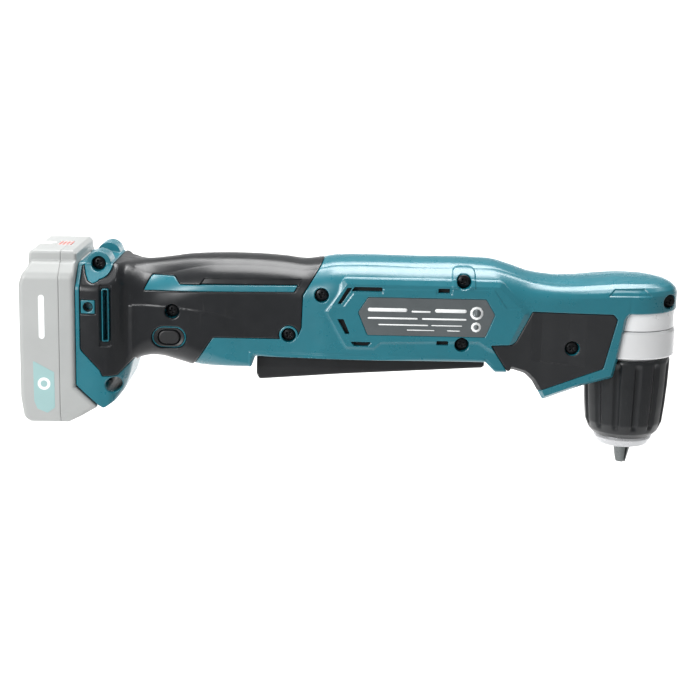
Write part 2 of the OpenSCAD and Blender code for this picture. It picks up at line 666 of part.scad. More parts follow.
// ---------------------------------------------------------------- battery
battery_outline = [
    [battery_back + 1.2, 92], [battery_back, 88], [battery_back, 34], [-289.2, 23.5],
    [-287, 21.3], [-268.8, 21.3], [-254.4, 29.9], [battery_face, 39.4], [battery_face, 98.6],
    [-285.4, 98.6]
];
battery_top = [
    [-288, 95], [-287, 102.2], [-285.6, 103.3], [-266.5, 103.3], [battery_face, 101.8],
    [battery_face, 95]
];
cell_x = -278.2;
check_x = -283.4;
module battery_form() {
    w = battery_w / 2;
    intersection() {
        union() {
            side(battery_outline, -w, w);
            side(battery_top, -25, 25);
        }
        linear_extrude(200) polygon(concat(
            arc([battery_back + 3, w - 3], 3, 180, 90, 4), [[-250, w], [-250, -w]],
            arc([battery_back + 3, 3 - w], 3, 270, 180, 4)));
    }
    block([battery_face - 0.1, -rail_neck, rail_low], [-260.9, rail_neck, rail_top]);
    block([-261, -rail_half, rail_low], [-257.9, rail_half, rail_top]);
}
module battery_shell() difference() {
    battery_form();
    block([-288.2, -30.4, 23.8], [-267.4, 30.4, 95.5]);
    for (y = [-8, 8]) block([-261.5, y - 0.8, 81], [-257, y + 0.8, 98]);
    translate([0, 0, 101.2]) linear_extrude(4) polygon(oval([check_x, 0], 5.2, 3.5));
    block([-277.4, -6.4, 102.6], [-270.6, 6.4, 105]);
    block([-293, -12.3, 90.2], [-282.2, 12.3, 96.5]);
}
module battery_case() color(pale) intersection() {
    battery_shell();
    block([-300, -40, 0], [-272, 40, 120]);
}
module battery_cover() color("#b9bbba") intersection() {
    battery_shell();
    block([-272, -40, 0], [-240, 40, 120]);
}
module battery_cells() color("#3f7fb0") for (y = [-19, 0, 19])
    translate([cell_x, y, 24.2]) cylinder(r=cell_r, h=65);
module indicator_lens() color("#d8cfcd") block([-277.3, -6.3, 102.6], [-270.7, 6.3, 103.2]);
module battery_latch() color("#a9abaa") side([
    [-290.3, 90.5], [-290.3, 91.6], [-287.6, 95.6], [-287, 96.2], [-284.6, 96.2],
    [-284.6, 90.5]], -12, 12);
module check_button() color("#e6e6e6") translate([0, 0, 101.9]) linear_extrude(1.5)
    polygon(oval([check_x, 0], 4.9, 3.2));

housing_right();
housing_left();
grip_right();
grip_left();
web_pad_right();
web_pad_left();
rating_plate();
name_plate();
housing_screws();
head_case();
spindle_bearings();
pinion_bearings();
gearbox_case();
ring_gear();
motor_can();
motor_magnets();
motor_end_bell();
motor_bearings();
carbon_brushes();
switch_body();
controller_board();
heat_sink();
terminal_block();
contact_blades();
led_board();
led_lens();
trigger_pin();
hook_nuts();
motor_leads();
battery_leads();
led_leads();
trigger_spring();
trigger_paddle();
switch_plunger();
direction_button();
armature();
motor_shaft();
sun_gear();
cooling_fan();
planet_gear_1();
planet_gear_2();
planet_gear_3();
planet_carrier();
bevel_pinion();
spindle();
bevel_gear();
chuck_body();
chuck_ring();
nose_ring();
chuck_sleeve();
jaw_nut();
jaw_1();
jaw_2();
jaw_3();
battery_case();
battery_cover();
battery_cells();
indicator_lens();
battery_latch();
check_button();
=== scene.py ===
import math
import bpy
import numpy as np
from mathutils import Matrix, Vector


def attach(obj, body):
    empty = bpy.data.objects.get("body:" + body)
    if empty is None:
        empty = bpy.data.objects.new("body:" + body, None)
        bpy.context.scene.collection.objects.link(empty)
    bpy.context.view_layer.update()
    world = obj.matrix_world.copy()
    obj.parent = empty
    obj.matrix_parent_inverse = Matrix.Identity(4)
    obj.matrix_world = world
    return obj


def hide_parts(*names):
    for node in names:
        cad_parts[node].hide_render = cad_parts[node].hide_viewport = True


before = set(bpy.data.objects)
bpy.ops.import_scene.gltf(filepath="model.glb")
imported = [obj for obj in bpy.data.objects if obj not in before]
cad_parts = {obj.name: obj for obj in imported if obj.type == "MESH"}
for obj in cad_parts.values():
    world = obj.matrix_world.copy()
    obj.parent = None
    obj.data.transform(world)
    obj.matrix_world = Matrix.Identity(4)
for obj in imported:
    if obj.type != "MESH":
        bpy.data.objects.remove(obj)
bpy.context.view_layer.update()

# Lengths in this script are millimetres in the row frame, and MM turns them into metres.
MM = 0.001
FINE = 0.4       # grid step of the large mouldings
SMALL = 0.25    # grid step of the small mouldings


# ---------------------------------------------------------------- signed distance fields
# A field takes x, y, z arrays and gives the signed distance to a form, negative inside.
def smax(a, b, r):
    """Where two forms overlap, with a convex fillet of radius r."""
    u = np.maximum(a + r, 0)
    v = np.maximum(b + r, 0)
    return np.minimum(np.maximum(a, b), -r) + np.sqrt(u * u + v * v)


def smin(a, b, r):
    """Two forms joined, with a concave fillet of radius r."""
    return -smax(-a, -b, r)


def cut(a, b, r):
    """Form a with form b taken out, its edge rounded by r."""
    return smax(a, -b, r)


def block(x, y, z, low, high, r=0.3):
    """A box with edges rounded by r."""
    q = [np.abs(c - (lo + hi) / 2) - (hi - lo) / 2 + r for c, lo, hi in zip((x, y, z), low, high)]
    outside = np.sqrt(sum(np.maximum(c, 0) ** 2 for c in q))
    return outside + np.minimum(np.maximum(np.maximum(q[0], q[1]), q[2]), 0) - r


def ramp(d, width):
    """0 on and outside an outline, rising to 1 at width inside it."""
    t = np.clip(-d / width, 0, 1)
    return t * t * (3 - 2 * t)


def line(d, width):
    """A soft line of that width that follows an outline."""
    return np.exp(-(d / width) ** 2)


def rounded(points, radius, steps=5):
    """An outline with its corners rounded. radius is one number, or one for each point."""
    p = [np.array(q, float) for q in points]
    n = len(p)
    radii = [radius] * n if np.isscalar(radius) else radius
    out = []
    for i in range(n):
        a, b, c = p[i - 1], p[i], p[(i + 1) % n]
        u, v = (a - b) / np.linalg.norm(a - b), (c - b) / np.linalg.norm(c - b)
        half = math.acos(max(-1, min(1, float(u @ v)))) / 2
        reach = min(np.linalg.norm(a - b), np.linalg.norm(c - b)) * 0.49
        back = min(radii[i] / max(math.tan(half), 1e-3), reach)
        if back < 0.05:
            out.append(b)
            continue
        for k in range(steps + 1):
            t = k / steps
            out.append((1 - t) ** 2 * (b + u * back) + 2 * t * (1 - t) * b
                       + t ** 2 * (b + v * back))
    return out


def oval(cx, cz, half_x, half_z, steps=12):
    """The outline of a slot with round ends."""
    ends = []
    for centre, start in ((cx + half_x - half_z, -90), (cx - half_x + half_z, 90)):
        for k in range(steps + 1):
            a = math.radians(start + 180 * k / steps)
            ends.append((centre + half_z * math.cos(a), cz + half_z * math.sin(a)))
    return ends


class Outline:
    """Signed distance to a closed outline in a plane, read from a table made once."""

    def __init__(self, points, step=0.25, margin=6):
        p = np.array(points, float)
        self.low, self.step = p.min(0) - margin, step
        count = np.ceil((p.max(0) + margin - self.low) / step).astype(int) + 1
        u = (self.low[0] + step * np.arange(count[0], dtype=np.float32))[:, None].astype(np.float32)
        v = (self.low[1] + step * np.arange(count[1], dtype=np.float32))[None, :].astype(np.float32)
        near = np.full(count, 1e9, np.float32)
        inside = np.zeros(count, bool)
        for a, b in zip(p, np.roll(p, -1, 0)):
            eu, ev = float(b[0] - a[0]), float(b[1] - a[1])
            wu, wv = u - np.float32(a[0]), v - np.float32(a[1])
            t = np.clip((wu * eu + wv * ev) / (eu * eu + ev * ev), 0, 1)
            near = np.minimum(near, (wu - t * eu) ** 2 + (wv - t * ev) ** 2)
            if ev:
                inside ^= ((a[1] > v) != (b[1] > v)) & (wu < eu / ev * wv)
        self.table = np.sqrt(near) * np.where(inside, -1, 1).astype(np.float32)

    def __call__(self, u, v):
        top = np.array(self.table.shape) - 1.001
        fu, fv = (u - self.low[0]) / self.step, (v - self.low[1]) / self.step
        cu, cv = np.clip(fu, 0, top[0]), np.clip(fv, 0, top[1])
        cu, cv = np.broadcast_arrays(cu, cv)
        i, j = cu.astype(np.int32), cv.astype(np.int32)
        s, t = (cu - i).astype(np.float32), (cv - j).astype(np.float32)
        g = self.table
        near = ((g[i, j] * (1 - s) + g[i + 1, j] * s) * (1 - t)
                + (g[i, j + 1] * (1 - s) + g[i + 1, j + 1] * s) * t)
        return near + np.hypot(fu - cu, fv - cv) * self.step


class Curve:
    """A smooth curve through a few points, giving v at any u, with the cosine of its slope."""

    def __init__(self, points):
        u, v = np.array(points, float).T
        slope = np.gradient(v, u)
        self.u = np.arange(u[0], u[-1], 0.25)
        k = np.clip(np.searchsorted(u, self.u, side="right") - 1, 0, len(u) - 2)
        h = u[k + 1] - u[k]
        t = (self.u - u[k]) / h
        self.v = ((2 * t ** 3 - 3 * t ** 2 + 1) * v[k] + (t ** 3 - 2 * t ** 2 + t) * h * slope[k]
                  + (3 * t ** 2 - 2 * t ** 3) * v[k + 1] + (t ** 3 - t ** 2) * h * slope[k + 1])
        self.c = 1 / np.hypot(1, np.gradient(self.v, self.u))

    def __call__(self, u):
        return np.interp(u, self.u, self.v).astype(np.float32)

    def lean(self, u):
        return np.interp(u, self.u, self.c).astype(np.float32)


# ---------------------------------------------------------------- meshes from fields
def surface_net(field, low, high, step):
    """Corner points and quads of the surface on which a field is zero."""
    axes = [np.arange(lo, hi + step, step, dtype=np.float32) for lo, hi in zip(low, high)]
    x, y, z = axes[0][:, None, None], axes[1][None, :, None], axes[2][None, None, :]
    d = np.ascontiguousarray(np.broadcast_to(field(x, y, z), [len(a) for a in axes]), np.float32)
    inside = d < 0
    corners = [(i, j, k) for i in (0, 1) for j in (0, 1) for k in (0, 1)]
    n = np.array(d.shape) - 1
    count = np.zeros(n, np.uint8)
    for i, j, k in corners:
        count += inside[i:n[0] + i, j:n[1] + j, k:n[2] + k]
    active = (count > 0) & (count < 8)
    cell = np.argwhere(active)
    number = np.full(n, -1, np.int32)
    number[active] = np.arange(len(cell))
    value = np.stack([d[cell[:, 0] + i, cell[:, 1] + j, cell[:, 2] + k] for i, j, k in corners])
    total, hits = np.zeros((len(cell), 3)), np.zeros(len(cell))
    for a in range(8):
        for b in range(a + 1, 8):
            move = np.array(corners[b]) - np.array(corners[a])
            if np.abs(move).sum() != 1:
                continue
            crosses = (value[a] < 0) != (value[b] < 0)
            t = np.where(crosses, value[a] / np.where(crosses, value[a] - value[b], 1), 0)
            total += np.where(crosses[:, None], np.array(corners[a]) + t[:, None] * move, 0)
            hits += crosses
    points = (cell + total / hits[:, None]) * step + np.array([a[0] for a in axes])
    quads = []
    for a in range(3):
        b, c = (a + 1) % 3, (a + 2) % 3
        here, there = [slice(1, -1)] * 3, [slice(1, -1)] * 3
        here[a], there[a] = slice(0, -1), slice(1, None)
        changes = np.argwhere(inside[tuple(here)] != inside[tuple(there)])
        start = np.ones(3, int)
        start[a] = 0
        at = changes + start
        ring = []
        for db, dc in ((-1, -1), (0, -1), (0, 0), (-1, 0)):
            q = at.copy()
            q[:, b] += db
            q[:, c] += dc
            ring.append(number[q[:, 0], q[:, 1], q[:, 2]])
        quad = np.stack(ring, 1)
        flip = ~inside[at[:, 0], at[:, 1], at[:, 2]]
        quad[flip] = quad[flip][:, ::-1]
        quads.append(quad)
    return points, np.concatenate(quads)


def gradient(field, p, h):
    g = np.empty_like(p)
    for k in range(3):
        ahead, behind = p.copy(), p.copy()
        ahead[:, k] += h
        behind[:, k] -= h
        g[:, k] = (field(*ahead.T) - field(*behind.T)) / (2 * h)
    return g


def settle(field, p, step):
    """Moves points onto the surface."""
    for _ in range(2):
        g = gradient(field, p, step * 0.4)
        d = np.clip(field(*p.T), -step, step)
        p = p - (d / np.maximum((g * g).sum(1), 0.3))[:, None] * g
    return p


def new_object(name, data):
    obj = bpy.data.objects.new(name, data)
    bpy.context.scene.collection.objects.link(obj)
    return obj


def new_mesh(name, points, faces):
    """A mesh object with smooth faces, from points in millimetres and an array of faces."""
    mesh = bpy.data.meshes.new(name)
    faces = np.asarray(faces, np.int32)
    mesh.vertices.add(len(points))
    mesh.vertices.foreach_set("co", (np.asarray(points, float) * MM).astype(np.float32).ravel())
    mesh.loops.add(faces.size)
    mesh.loops.foreach_set("vertex_index", faces.ravel())
    mesh.polygons.add(len(faces))
    starts = np.arange(0, faces.size, faces.shape[1], dtype=np.int32)
    mesh.polygons.foreach_set("loop_start", starts)
    mesh.polygons.foreach_set("use_smooth", np.ones(len(faces), bool))
    mesh.update(calc_edges=True)
    mesh.validate()
    return new_object(name, mesh)


def thin(obj, share):
    """Keeps only that share of an object's faces, dropping them where they matter least."""
    modifier = obj.modifiers.new("thin", "DECIMATE")
    modifier.ratio = share
    graph = bpy.context.evaluated_depsgraph_get()
    mesh = bpy.data.meshes.new_from_object(obj.evaluated_get(graph))
    obj.modifiers.clear()
    old, obj.data = obj.data, mesh
    bpy.data.meshes.remove(old)


def moulded(name, field, low, high, step, mirror=False):
    """A piece whose surface is where a field is zero. mirror turns it over to the other side."""
    points, quads = surface_net(field, low, high, step)
    points = settle(field, points, step)
    obj = new_mesh(name, points, quads)
    thin(obj, 0.35)
    count = len(obj.data.vertices)
    p = np.empty(count * 3, np.float32)
    obj.data.vertices.foreach_get("co", p)
    p = p.reshape(-1, 3).astype(float) / MM
    g = gradient(field, p, step * 0.35)
    g /= np.maximum(np.linalg.norm(g, axis=1), 1e-6)[:, None]
    if mirror:
        obj.data.transform(Matrix.Scale(-1, 4, (0, 1, 0)))
        obj.data.flip_normals()
        g[:, 1] *= -1
    obj.data.normals_split_custom_set_from_vertices(g.tolist())
    return obj


# ---------------------------------------------------------------- the tool's body
# X runs along the tool to the chuck's axis at 0, Y across it, and the jaws end at Z = 0.
DOCK_X = -264.5          # face of the dock that the battery lies against
WALL = 2.4               # wall of the housing halves
GRIP_T = 1.5             # thickness of the soft grip
SIDE_W = 24.85           # half width of the motor section
HEAD_R = 24.2            # radius of the gear head
HEAD_BACK = 2            # centre of the gear head behind the chuck axis
HEAD_UNDER = 78.2        # underside of the gear head
DRIVE_Z = 80             # height of the motor's axis
CROWN = 90               # twice the radius of the slightly arched top
PADDLE_HALF = 13         # half width of the paddle trigger
PIN_X, PIN_Z, PIN_R = -76, 55.6, 1.5
EAR = (-254.7, 97)       # screw ears at the top of the dock
DOCK_TAPER = 118.7       # |y| + z along the dock's top bevels
WEB_IN = 18              # inner face of the web pads and the vents
FORE_X = -59             # where the web under the neck begins
RING_ROOM, CASE_ROOM = 23.1, 21.5    # radii kept free round the chuck and the gear case
RING_TOP = 68.7

roof = Curve([
    (-270, 96.6), (-264.5, 97.3), (-258, 97.9), (-250, 97.6), (-246, 96.9), (-241, 96.4),
    (-234, 96.3), (-225, 97.3), (-214, 98.9), (-202, 99.7), (-190, 99.9), (-179, 99.7),
    (-168, 99), (-156, 98), (-150, 98.9), (-144, 100), (-138, 100.3), (-105, 100.3),
    (-76, 100.2), (-68, 99.7), (-59, 97.2), (-50, 94.3), (-40, 92.8), (-28, 92.6),
    (-18, 93.1), (-8, 93.9), (0, 94), (10, 94)])
half_width = Curve([
    (-270, 31.5), (-264.5, 31.5), (-252, 31.5), (-248.5, 30.6), (-245, 27.4), (-241.8, 24),
    (-239, 23), (-232, 22.1), (-222, 21.8), (-205, 22), (-180, 22.4), (-162, 22.9), (-154, 23.6),
    (-148, 24.3), (-140, 24.5), (-80, 24.5), (-66, 24.2), (-58, 23.4), (-48, 23.2), (-38, 23.7),
    (-20, 24.1), (0, 24.2), (10, 24.2)])
shoulder_r = Curve([
    (-270, 3), (-256, 3.5), (-246, 7), (-240, 13), (-200, 14.5), (-140, 14), (-72, 14), (-58, 11),
    (-44, 8.5), (0, 8), (10, 8)])
lower_r = Curve([
    (-270, 1), (-246, 1.5), (-238, 6), (-232, 9), (-205, 9), (-195, 5), (-182, 2), (-70, 1.6),
    (-60, 1), (10, 1)])

underside = Outline(rounded([
    (DOCK_X, 140), (DOCK_X, 40.1), (-253.9, 30.6), (-251.8, 29.2), (-246.5, 32.5),
    (-243, 36.5), (-240.8, 43), (-238.5, 52), (-231, 53.2), (-225, 52.4), (-219, 50.6),
    (-208, 47.6), (-202, 47.6), (-183, 48.6), (-181, 54.4), (-71, 54), (-66.4, 49.4),
    (-59.9, 49.4), (-58.8, 50.2), (-52, 48.2), (-48.4, 44.7), (-45.6, 40), (-43, 35.5),
    (-24.7, 42.7), (-10, 47), (-7.8, 56), (-4.6, 76), (-2, HEAD_UNDER), (-2, 140)],
    [0, 0.6, 0.8, 1.2, 3, 4, 6, 5, 20, 20, 20, 20, 12, 1.6, 1.4, 1, 0.8, 0.6, 2, 6, 6, 3, 0.6,
     4, 2, 6, 4, 0.5, 0]), margin=14)
HEAD_TOP = [(HEAD_R, 86.6), (23.3, 88.6), (21.4, 90.4), (18.4, 91.9), (14, 93), (8, 93.8),
            (0, 94.1), (-30, 94.1)]
head_profile = Outline(rounded(
    [(-30, HEAD_UNDER), (HEAD_R, HEAD_UNDER)] + HEAD_TOP,
    [0, 0.8, 1.5, 2, 3, 4, 6, 8, 9, 0]), margin=12)
neck_section = Outline(rounded(
    [(-30, 20), (HEAD_R, 20)] + HEAD_TOP, [0, 0, 1.5, 2, 3, 4, 6, 8, 9, 0]), margin=12)

# Frame lines and raised panels on the motor section's sides
panel = Outline(rounded([
    (-146.9, 76.5), (-137.7, 90.1), (-65.8, 89.9), (-53.2, 77.4), (-62, 58), (-69.5, 59.9),
    (-75, 63.4), (-121, 62.2), (-124.4, 59.4), (-137.4, 59.6), (-139.4, 62.6)], 0.5))
inner_panel = Outline(rounded([
    (-147.2, 76.5), (-145, 79.7), (-139.1, 79.7), (-134.6, 86), (-120.9, 86.1), (-120.6, 88.4),
    (-95.4, 88.5), (-95.2, 86.1), (-88.4, 86.1), (-88.1, 88.6), (-68.1, 88.8), (-61.8, 79.9),
    (-55.4, 79.8), (-53.2, 77.4), (-62, 58), (-69.5, 59.9), (-75, 63.4), (-121, 62.2),
    (-124.4, 59.4), (-137.4, 59.6), (-139.4, 62.6)], 0.4))
plate_area = rounded([
    (-132, 76.8), (-127.5, 84), (-72, 84), (-67.7, 76.8), (-72, 66), (-127.5, 66)], 1.2)
plate = Outline(plate_area)
arch = Outline(rounded([(-88.3, 84), (-88.3, 98.4), (-76.9, 98.4), (-76.9, 84)], 3.6))
head_mark = Outline(rounded([(-15.2, 86.2), (-11.4, 90), (3, 90.3), (7.4, 86.4)], 0.6))
low_rim = Outline([(-184, 40), (-184, 56.5), (-72, 55.9), (-66.5, 51), (-60.5, 50.7), (-60.5, 40)])
VENTS = [
    [(-137.4, 88.3), (-135.1, 88.3), (-140.1, 80.6), (-141.9, 80.6)],
    [(-134, 88.8), (-121, 88.8), (-121, 86.8), (-135.4, 86.8)],
    [(-94.6, 88.8), (-89.2, 88.8), (-89.2, 86.7), (-94.6, 86.7)],
    [(-141.8, 73.3), (-139, 73.3), (-135.9, 66.2), (-137.9, 66.2)],
    [(-135.4, 62.5), (-125.7, 62.5), (-127.3, 60.5), (-133.6, 60.5)],
    [(-94.7, 63.7), (-89.2, 63.7), (-89.2, 61.7), (-94.7, 61.7)]]
vents = [Outline(v, margin=3) for v in VENTS]

# Soft grip
grip_area = Outline(rounded([
    (-262.5, 57.4), (-262.5, 95.8), (-257, 99.5), (-249.2, 100.5), (-249.2, 125), (-146.5, 125),
    (-148.4, 99.5), (-158.3, 84), (-158.8, 68.3), (-160.8, 63.3), (-168.8, 62.6), (-201, 62.5),
    (-211, 47.6), (-212, 36), (-236.5, 36), (-237.9, 52.2), (-245.4, 44.6), (-252.2, 44.6),
    (-253.4, 47.6)],
    [4, 0.5, 2, 2, 0, 0, 3, 2, 1.5, 1.5, 1, 1.5, 2, 0, 0, 0.5, 1, 0.6, 1]))
accent = Outline(rounded([
    (-233.8, 84.4), (-230.5, 91), (-219.6, 90.8), (-216.9, 87.3), (-161, 88.1),
    (-162.6, 85.3), (-216.9, 84.4)], [0.5, 1.6, 1.6, 0.8, 0.3, 0.5, 0.5]), step=0.15)
grip_recess = Outline(rounded([
    (-208, 87), (-205.2, 90.9), (-158.6, 91.2), (-160.2, 87.6)], 0.6))
tongue = Outline(rounded([
    (-261.2, 99), (-260.4, 93), (-258.8, 89.8), (-256.4, 88.6), (-253.9, 89.8), (-252.4, 93),
    (-250.6, 99)], [1, 3, 2, 2, 2, 3, 1]), step=0.15)
web_area = Outline(rounded([
    (-69.1, 62), (-58.6, 62.5), (-56.9, 64.1), (-49.7, 78.4), (-11.4, 77.9),
    (-9.4, 75.5), (-15.1, 51.6), (-25.6, 47.6), (-44, 40.4), (-47, 39), (-55, 42), (-60, 48)],
    [0.6, 2, 1.5, 1.2, 1.6, 1, 1.4, 1, 0.5, 0.5, 1, 1]))
# Housing screws: x, z, half width of the tool there
SCREWS = [
    (-254.7, 97.1, 22), (-220.3, 74.8, 21.7), (-164.9, 64.6, 22.9), (-149.5, 84.2, 24.4),
    (-82.6, 91.9, 23.4), (-82.8, 62.1, 24.6), (-30.2, 61.1, 24.2), (16, 83.3, 16)]
HOLE_R = 3.4
BUTTON = (-221.75, 62.2)
LANYARD = (-247.2, 40.3, 3.6)
NUT = (-258.5, 77.9)

button_ring = Outline(oval(*BUTTON, 8.1, 5.3), step=0.15)
button_well = Outline(oval(*BUTTON, 7.4, 4.6), step=0.15)
trigger_area = Outline([
    (-181.8, 40), (-181.8, 61), (-140, 59.4), (-138, 60), (-122, 60), (-120, 58.6),
    (-90, 57.4), (-80.4, 57.4), (-80.4, 60), (-71.6, 60), (-71.6, 57), (-69, 57), (-69, 40)])
cavity = Outline(rounded([
    (-240.5, 54), (-240.5, 93.8), (-225, 94.9), (-190, 97.5), (-156, 95.3), (-138, 97.9),
    (-72, 97.9), (-50, 91.9), (-40, 90.4), (-12, 91.6), (-10.5, 78.6), (-10.5, 74), (-14, 51),
    (-25, 47), (-40.5, 41.5), (-43.5, 45.5), (-48.5, 50), (-59, 51.2), (-66, 52), (-70, 54.4),
    (-181, 54.8), (-183, 48.8), (-202, 48.6), (-208, 49), (-219, 51.6), (-231, 54)], 1))


def across(x, z, at, r):
    """Distance to a cylinder across the tool."""
    return np.hypot(x - at[0], z - at[1]) - r


def web_face(x, y, z):
    """The chamfer along the front and lower edges of the web under the neck."""
    return (np.abs(y) - half_width(x)) * 0.5 + underside(x, z) * 0.87 + 1.5


def smooth_body(x, y, z, raised=0):
    """The outside of grip, motor body and neck without relief; raised widens its sides."""
    a = np.abs(y)
    arched = np.minimum(y * y, 200) / CROWN * np.clip((x + 242) / 8, 0, 1)
    top = (z - roof(x) + arched) * roof.lean(x)
    side = (a - half_width(x) - raised) * half_width.lean(x)
    low = underside(x, z)
    d = smax(top, side, shoulder_r(x))
    like_head = np.clip((x + 40) / 24, 0, 1)
    section = neck_section(a * HEAD_R / half_width(x), z + 94 - roof(x)) - raised
    d = d + (section - d) * like_head * like_head * (3 - 2 * like_head)
    dock_bevel = (a + z - DOCK_TAPER) * 0.707 - 40 * (np.clip(x + 246, 0, 8) / 8)
    d = smax(d, dock_bevel, 1.2)
    d = smax(d, low, lower_r(x))
    return np.maximum(d, np.where(x > FORE_X, web_face(x, y, z), -9))


def dome(x, y, z):
    return head_profile(np.hypot(x + HEAD_BACK, y), z)


def chuck_room(x, y, z):
    """Space round the chuck and the gear case under the head."""
    r = np.hypot(x, y)
    case = np.maximum(r - CASE_ROOM, z - HEAD_UNDER - 0.02)
    return np.minimum(np.maximum(r - RING_ROOM, z - RING_TOP), case)


def base_form(x, y, z):
    return np.minimum(smooth_body(x, y, z), dome(x, y, z))


def side_relief(x, z):
    """How far the sides of the teal housing stand out."""
    out = 0.32 * ramp(inner_panel(x, z), 0.55)
    out = out + 0.45 * ramp(arch(x, z), 0.7) * (z > 89)
    out = out + 0.45 * ramp(low_rim(x, z), 0.8)
    out = out - 0.5 * ramp(head_mark(x, z), 0.7)
    return out


def outer_form(x, y, z):
    """The whole outside of the housing with its panels, bosses and lips."""
    a = np.abs(y)
    body = smooth_body(x, y, z)
    edge = panel(x, z)
    slab = np.maximum(a - SIDE_W, (a - SIDE_W) * 0.82 + edge * 0.57)
    slab = np.maximum(slab, np.maximum(underside(x, z) + 1, edge - 2.5))
    body = smin(body, slab, 0.5)
    boss = np.maximum(across(x, z, EAR, 5.7), np.abs(a - 15.6) - 6.6)
    body = smin(body, smax(boss, a - 22.2, 0.6), 0.8)
    whole = np.minimum(body, dome(x, y, z))
    return whole - side_relief(x, z) * np.clip((a - 10) / 4, 0, 1)


def screw_hole(x, y, z, at):
    return np.maximum(across(x, z, at, HOLE_R), y + at[2] - 4.5)


def grip_zone(x, y, z):
    """Where the soft grip covers the housing, as a form through the whole tool."""
    d = grip_area(x, z)
    d = np.maximum(d, -accent(x, z))
    d = np.maximum(d, -button_ring(x, z))
    d = np.maximum(d, -tongue(x, z))
    d = np.maximum(d, -across(x, z, EAR, 6.6))
    d = np.maximum(d, -across(x, z, SCREWS[1], HOLE_R - 0.15))
    d = np.maximum(d, -across(x, z, SCREWS[2], HOLE_R + 1.1))
    d = np.maximum(d, 4 - across(x, z, SCREWS[3], 0))
    slot = block(x, 0, z, (-252.1, -1, 61.4), (-248.9, 1, 86.5), 0.8)
    window = block(x, 0, z, (NUT[0] - 3.3, -1, NUT[1] - 3.2), (NUT[0] + 3.3, 1, NUT[1] + 3.2), 0.3)
    return np.maximum(np.maximum(d, -slot), -window)


def dock_slot(x, y, z):
    """T-slot that the battery slides up into, and the terminal chamber behind it."""
    a = np.abs(y)
    parts = [
        block(x, a, z, (-280, -20, -10), (-260.8, 14.3, 97.3), 0.2),
        block(x, a, z, (-261.3, -20, -10), (-257.6, 18.3, 97.3), 0.2),
        block(x, a, z, (-257.7, -20, 81), (-255, 12, 95), 0.2),
        block(x, a, z, (-256.4, -20, 54), (-243, 20, 92.8), 0.2),
        block(x, a, z, (-244, -20, 60), (-238, 16, 88), 0.2)]
    return np.minimum.reduce(np.broadcast_arrays(*parts))


def trigger_slot(x, y, z):
    return np.maximum(trigger_area(x, z), np.abs(y) - PADDLE_HALF - 0.7)


def ribs(x, y, z):
    """Screw bosses and the ribs that cradle the motor and the gearbox."""
    a = np.abs(y)
    r = np.hypot(y, z - DRIVE_Z)
    d = np.full(np.broadcast(x, y, z).shape, 50, np.float32)
    for at in SCREWS:
        d = np.minimum(d, across(x, z, at, 4.2))
    d = np.minimum(d, np.maximum(across(x, z, (PIN_X, PIN_Z), 3.6), 14 - a))
    d = np.minimum(d, block(x, a, z, (-136, -20, 60.2), (-124, 14.5, 61.8), 0.1))
    for at, bore in ((-133, 16.85), (-95, 16.85), (-72, 17.15), (-36, 10.05)):
        rib = np.maximum(np.maximum(np.abs(x - at) - 1, bore - r), 46 - z)
        rib = np.maximum(rib, -np.maximum(np.abs(a - 19) - 3, np.abs(z - 71) - 4.5))
        d = np.minimum(d, rib)
    return d


LED_AT, LED_DIR = (-27, 0, 43.1), (math.sin(math.radians(150.6)), 0, math.cos(math.radians(150.6)))


def led_hole(x, y, z):
    along = (x - LED_AT[0]) * LED_DIR[0] + (z - LED_AT[2]) * LED_DIR[2]
    px, pz = x - LED_AT[0] - along * LED_DIR[0], z - LED_AT[2] - along * LED_DIR[2]
    off = np.sqrt(px * px + y * y + pz * pz)
    return np.maximum(off - np.where(along < -2.9, 4.8, 2.6), np.abs(along) - 12)


def housing_field(x, y, z, right):
    """One half of the housing; right is True on the side of the screw heads, at -Y."""
    whole = outer_form(x, y, z)
    base = base_form(x, y, z)
    inner = np.maximum(base + WALL, np.minimum(cavity(x, z), 0.5 + base + WALL))
    inner = np.maximum(inner, cavity(x, z))
    inner = np.minimum(inner, np.maximum(np.hypot(y, z - DRIVE_Z) - 10.05, np.abs(x + 26) - 18))
    inner = np.maximum(inner, -(np.hypot(x, y) - 25.5) * (z < 69.4) - 99 * (z >= 69.4))
    inner = np.maximum(inner, -ribs(x, y, z))
    d = np.maximum(whole, -inner)
    d = cut(d, chuck_room(x, y, z), 0.3)
    soft = np.maximum(grip_zone(x, y, z), -(base + GRIP_T))
    web = np.maximum(np.maximum(web_area(x, z), WEB_IN - np.abs(y)), -(base + GRIP_T))
    d = cut(d, soft, 0.35)
    d = cut(d, web, 0.35)
    d = np.maximum(d, -trigger_slot(x, y, z))
    d = np.maximum(d, -dock_slot(x, y, z))
    a = np.abs(y)
    d = cut(d, np.maximum(plate(x, z) - 0.15, 24.75 - a), 0.3)
    for v in vents:
        d = cut(d, np.maximum(v(x, z), WEB_IN - a), 0.25)
    d = cut(d, np.maximum(button_well(x, z), 12 - a), 0.5)
    d = cut(d, np.maximum(across(x, z, LANYARD, LANYARD[2]), a - 60), 0.8)
    d = np.maximum(d, -block(x, a, z, (-251.6, 22, 61.9), (-249.4, 36, 86), 0.5))
    nut = block(x, a, z, (NUT[0] - 3.5, 27.5, NUT[1] - 3.5),
                (NUT[0] + 3.5, 30.7, NUT[1] + 3.5), 0.1)
    d = np.maximum(d, -nut)
    d = cut(d, np.maximum(across(x, z, NUT, 2.3), 28 - a), 0.3)
    d = np.maximum(d, -across(x, z, (PIN_X, PIN_Z), PIN_R) * (a < 20) - 99 * (a >= 20))
    d = np.maximum(d, -led_hole(x, y, z))
    for at in SCREWS if right else []:
        d = cut(d, screw_hole(x, y, z, at), 0.4)
        d = np.maximum(d, -np.maximum(across(x, z, at, 1.7), y + 0.5))
    return np.maximum(d, y if right else -y)


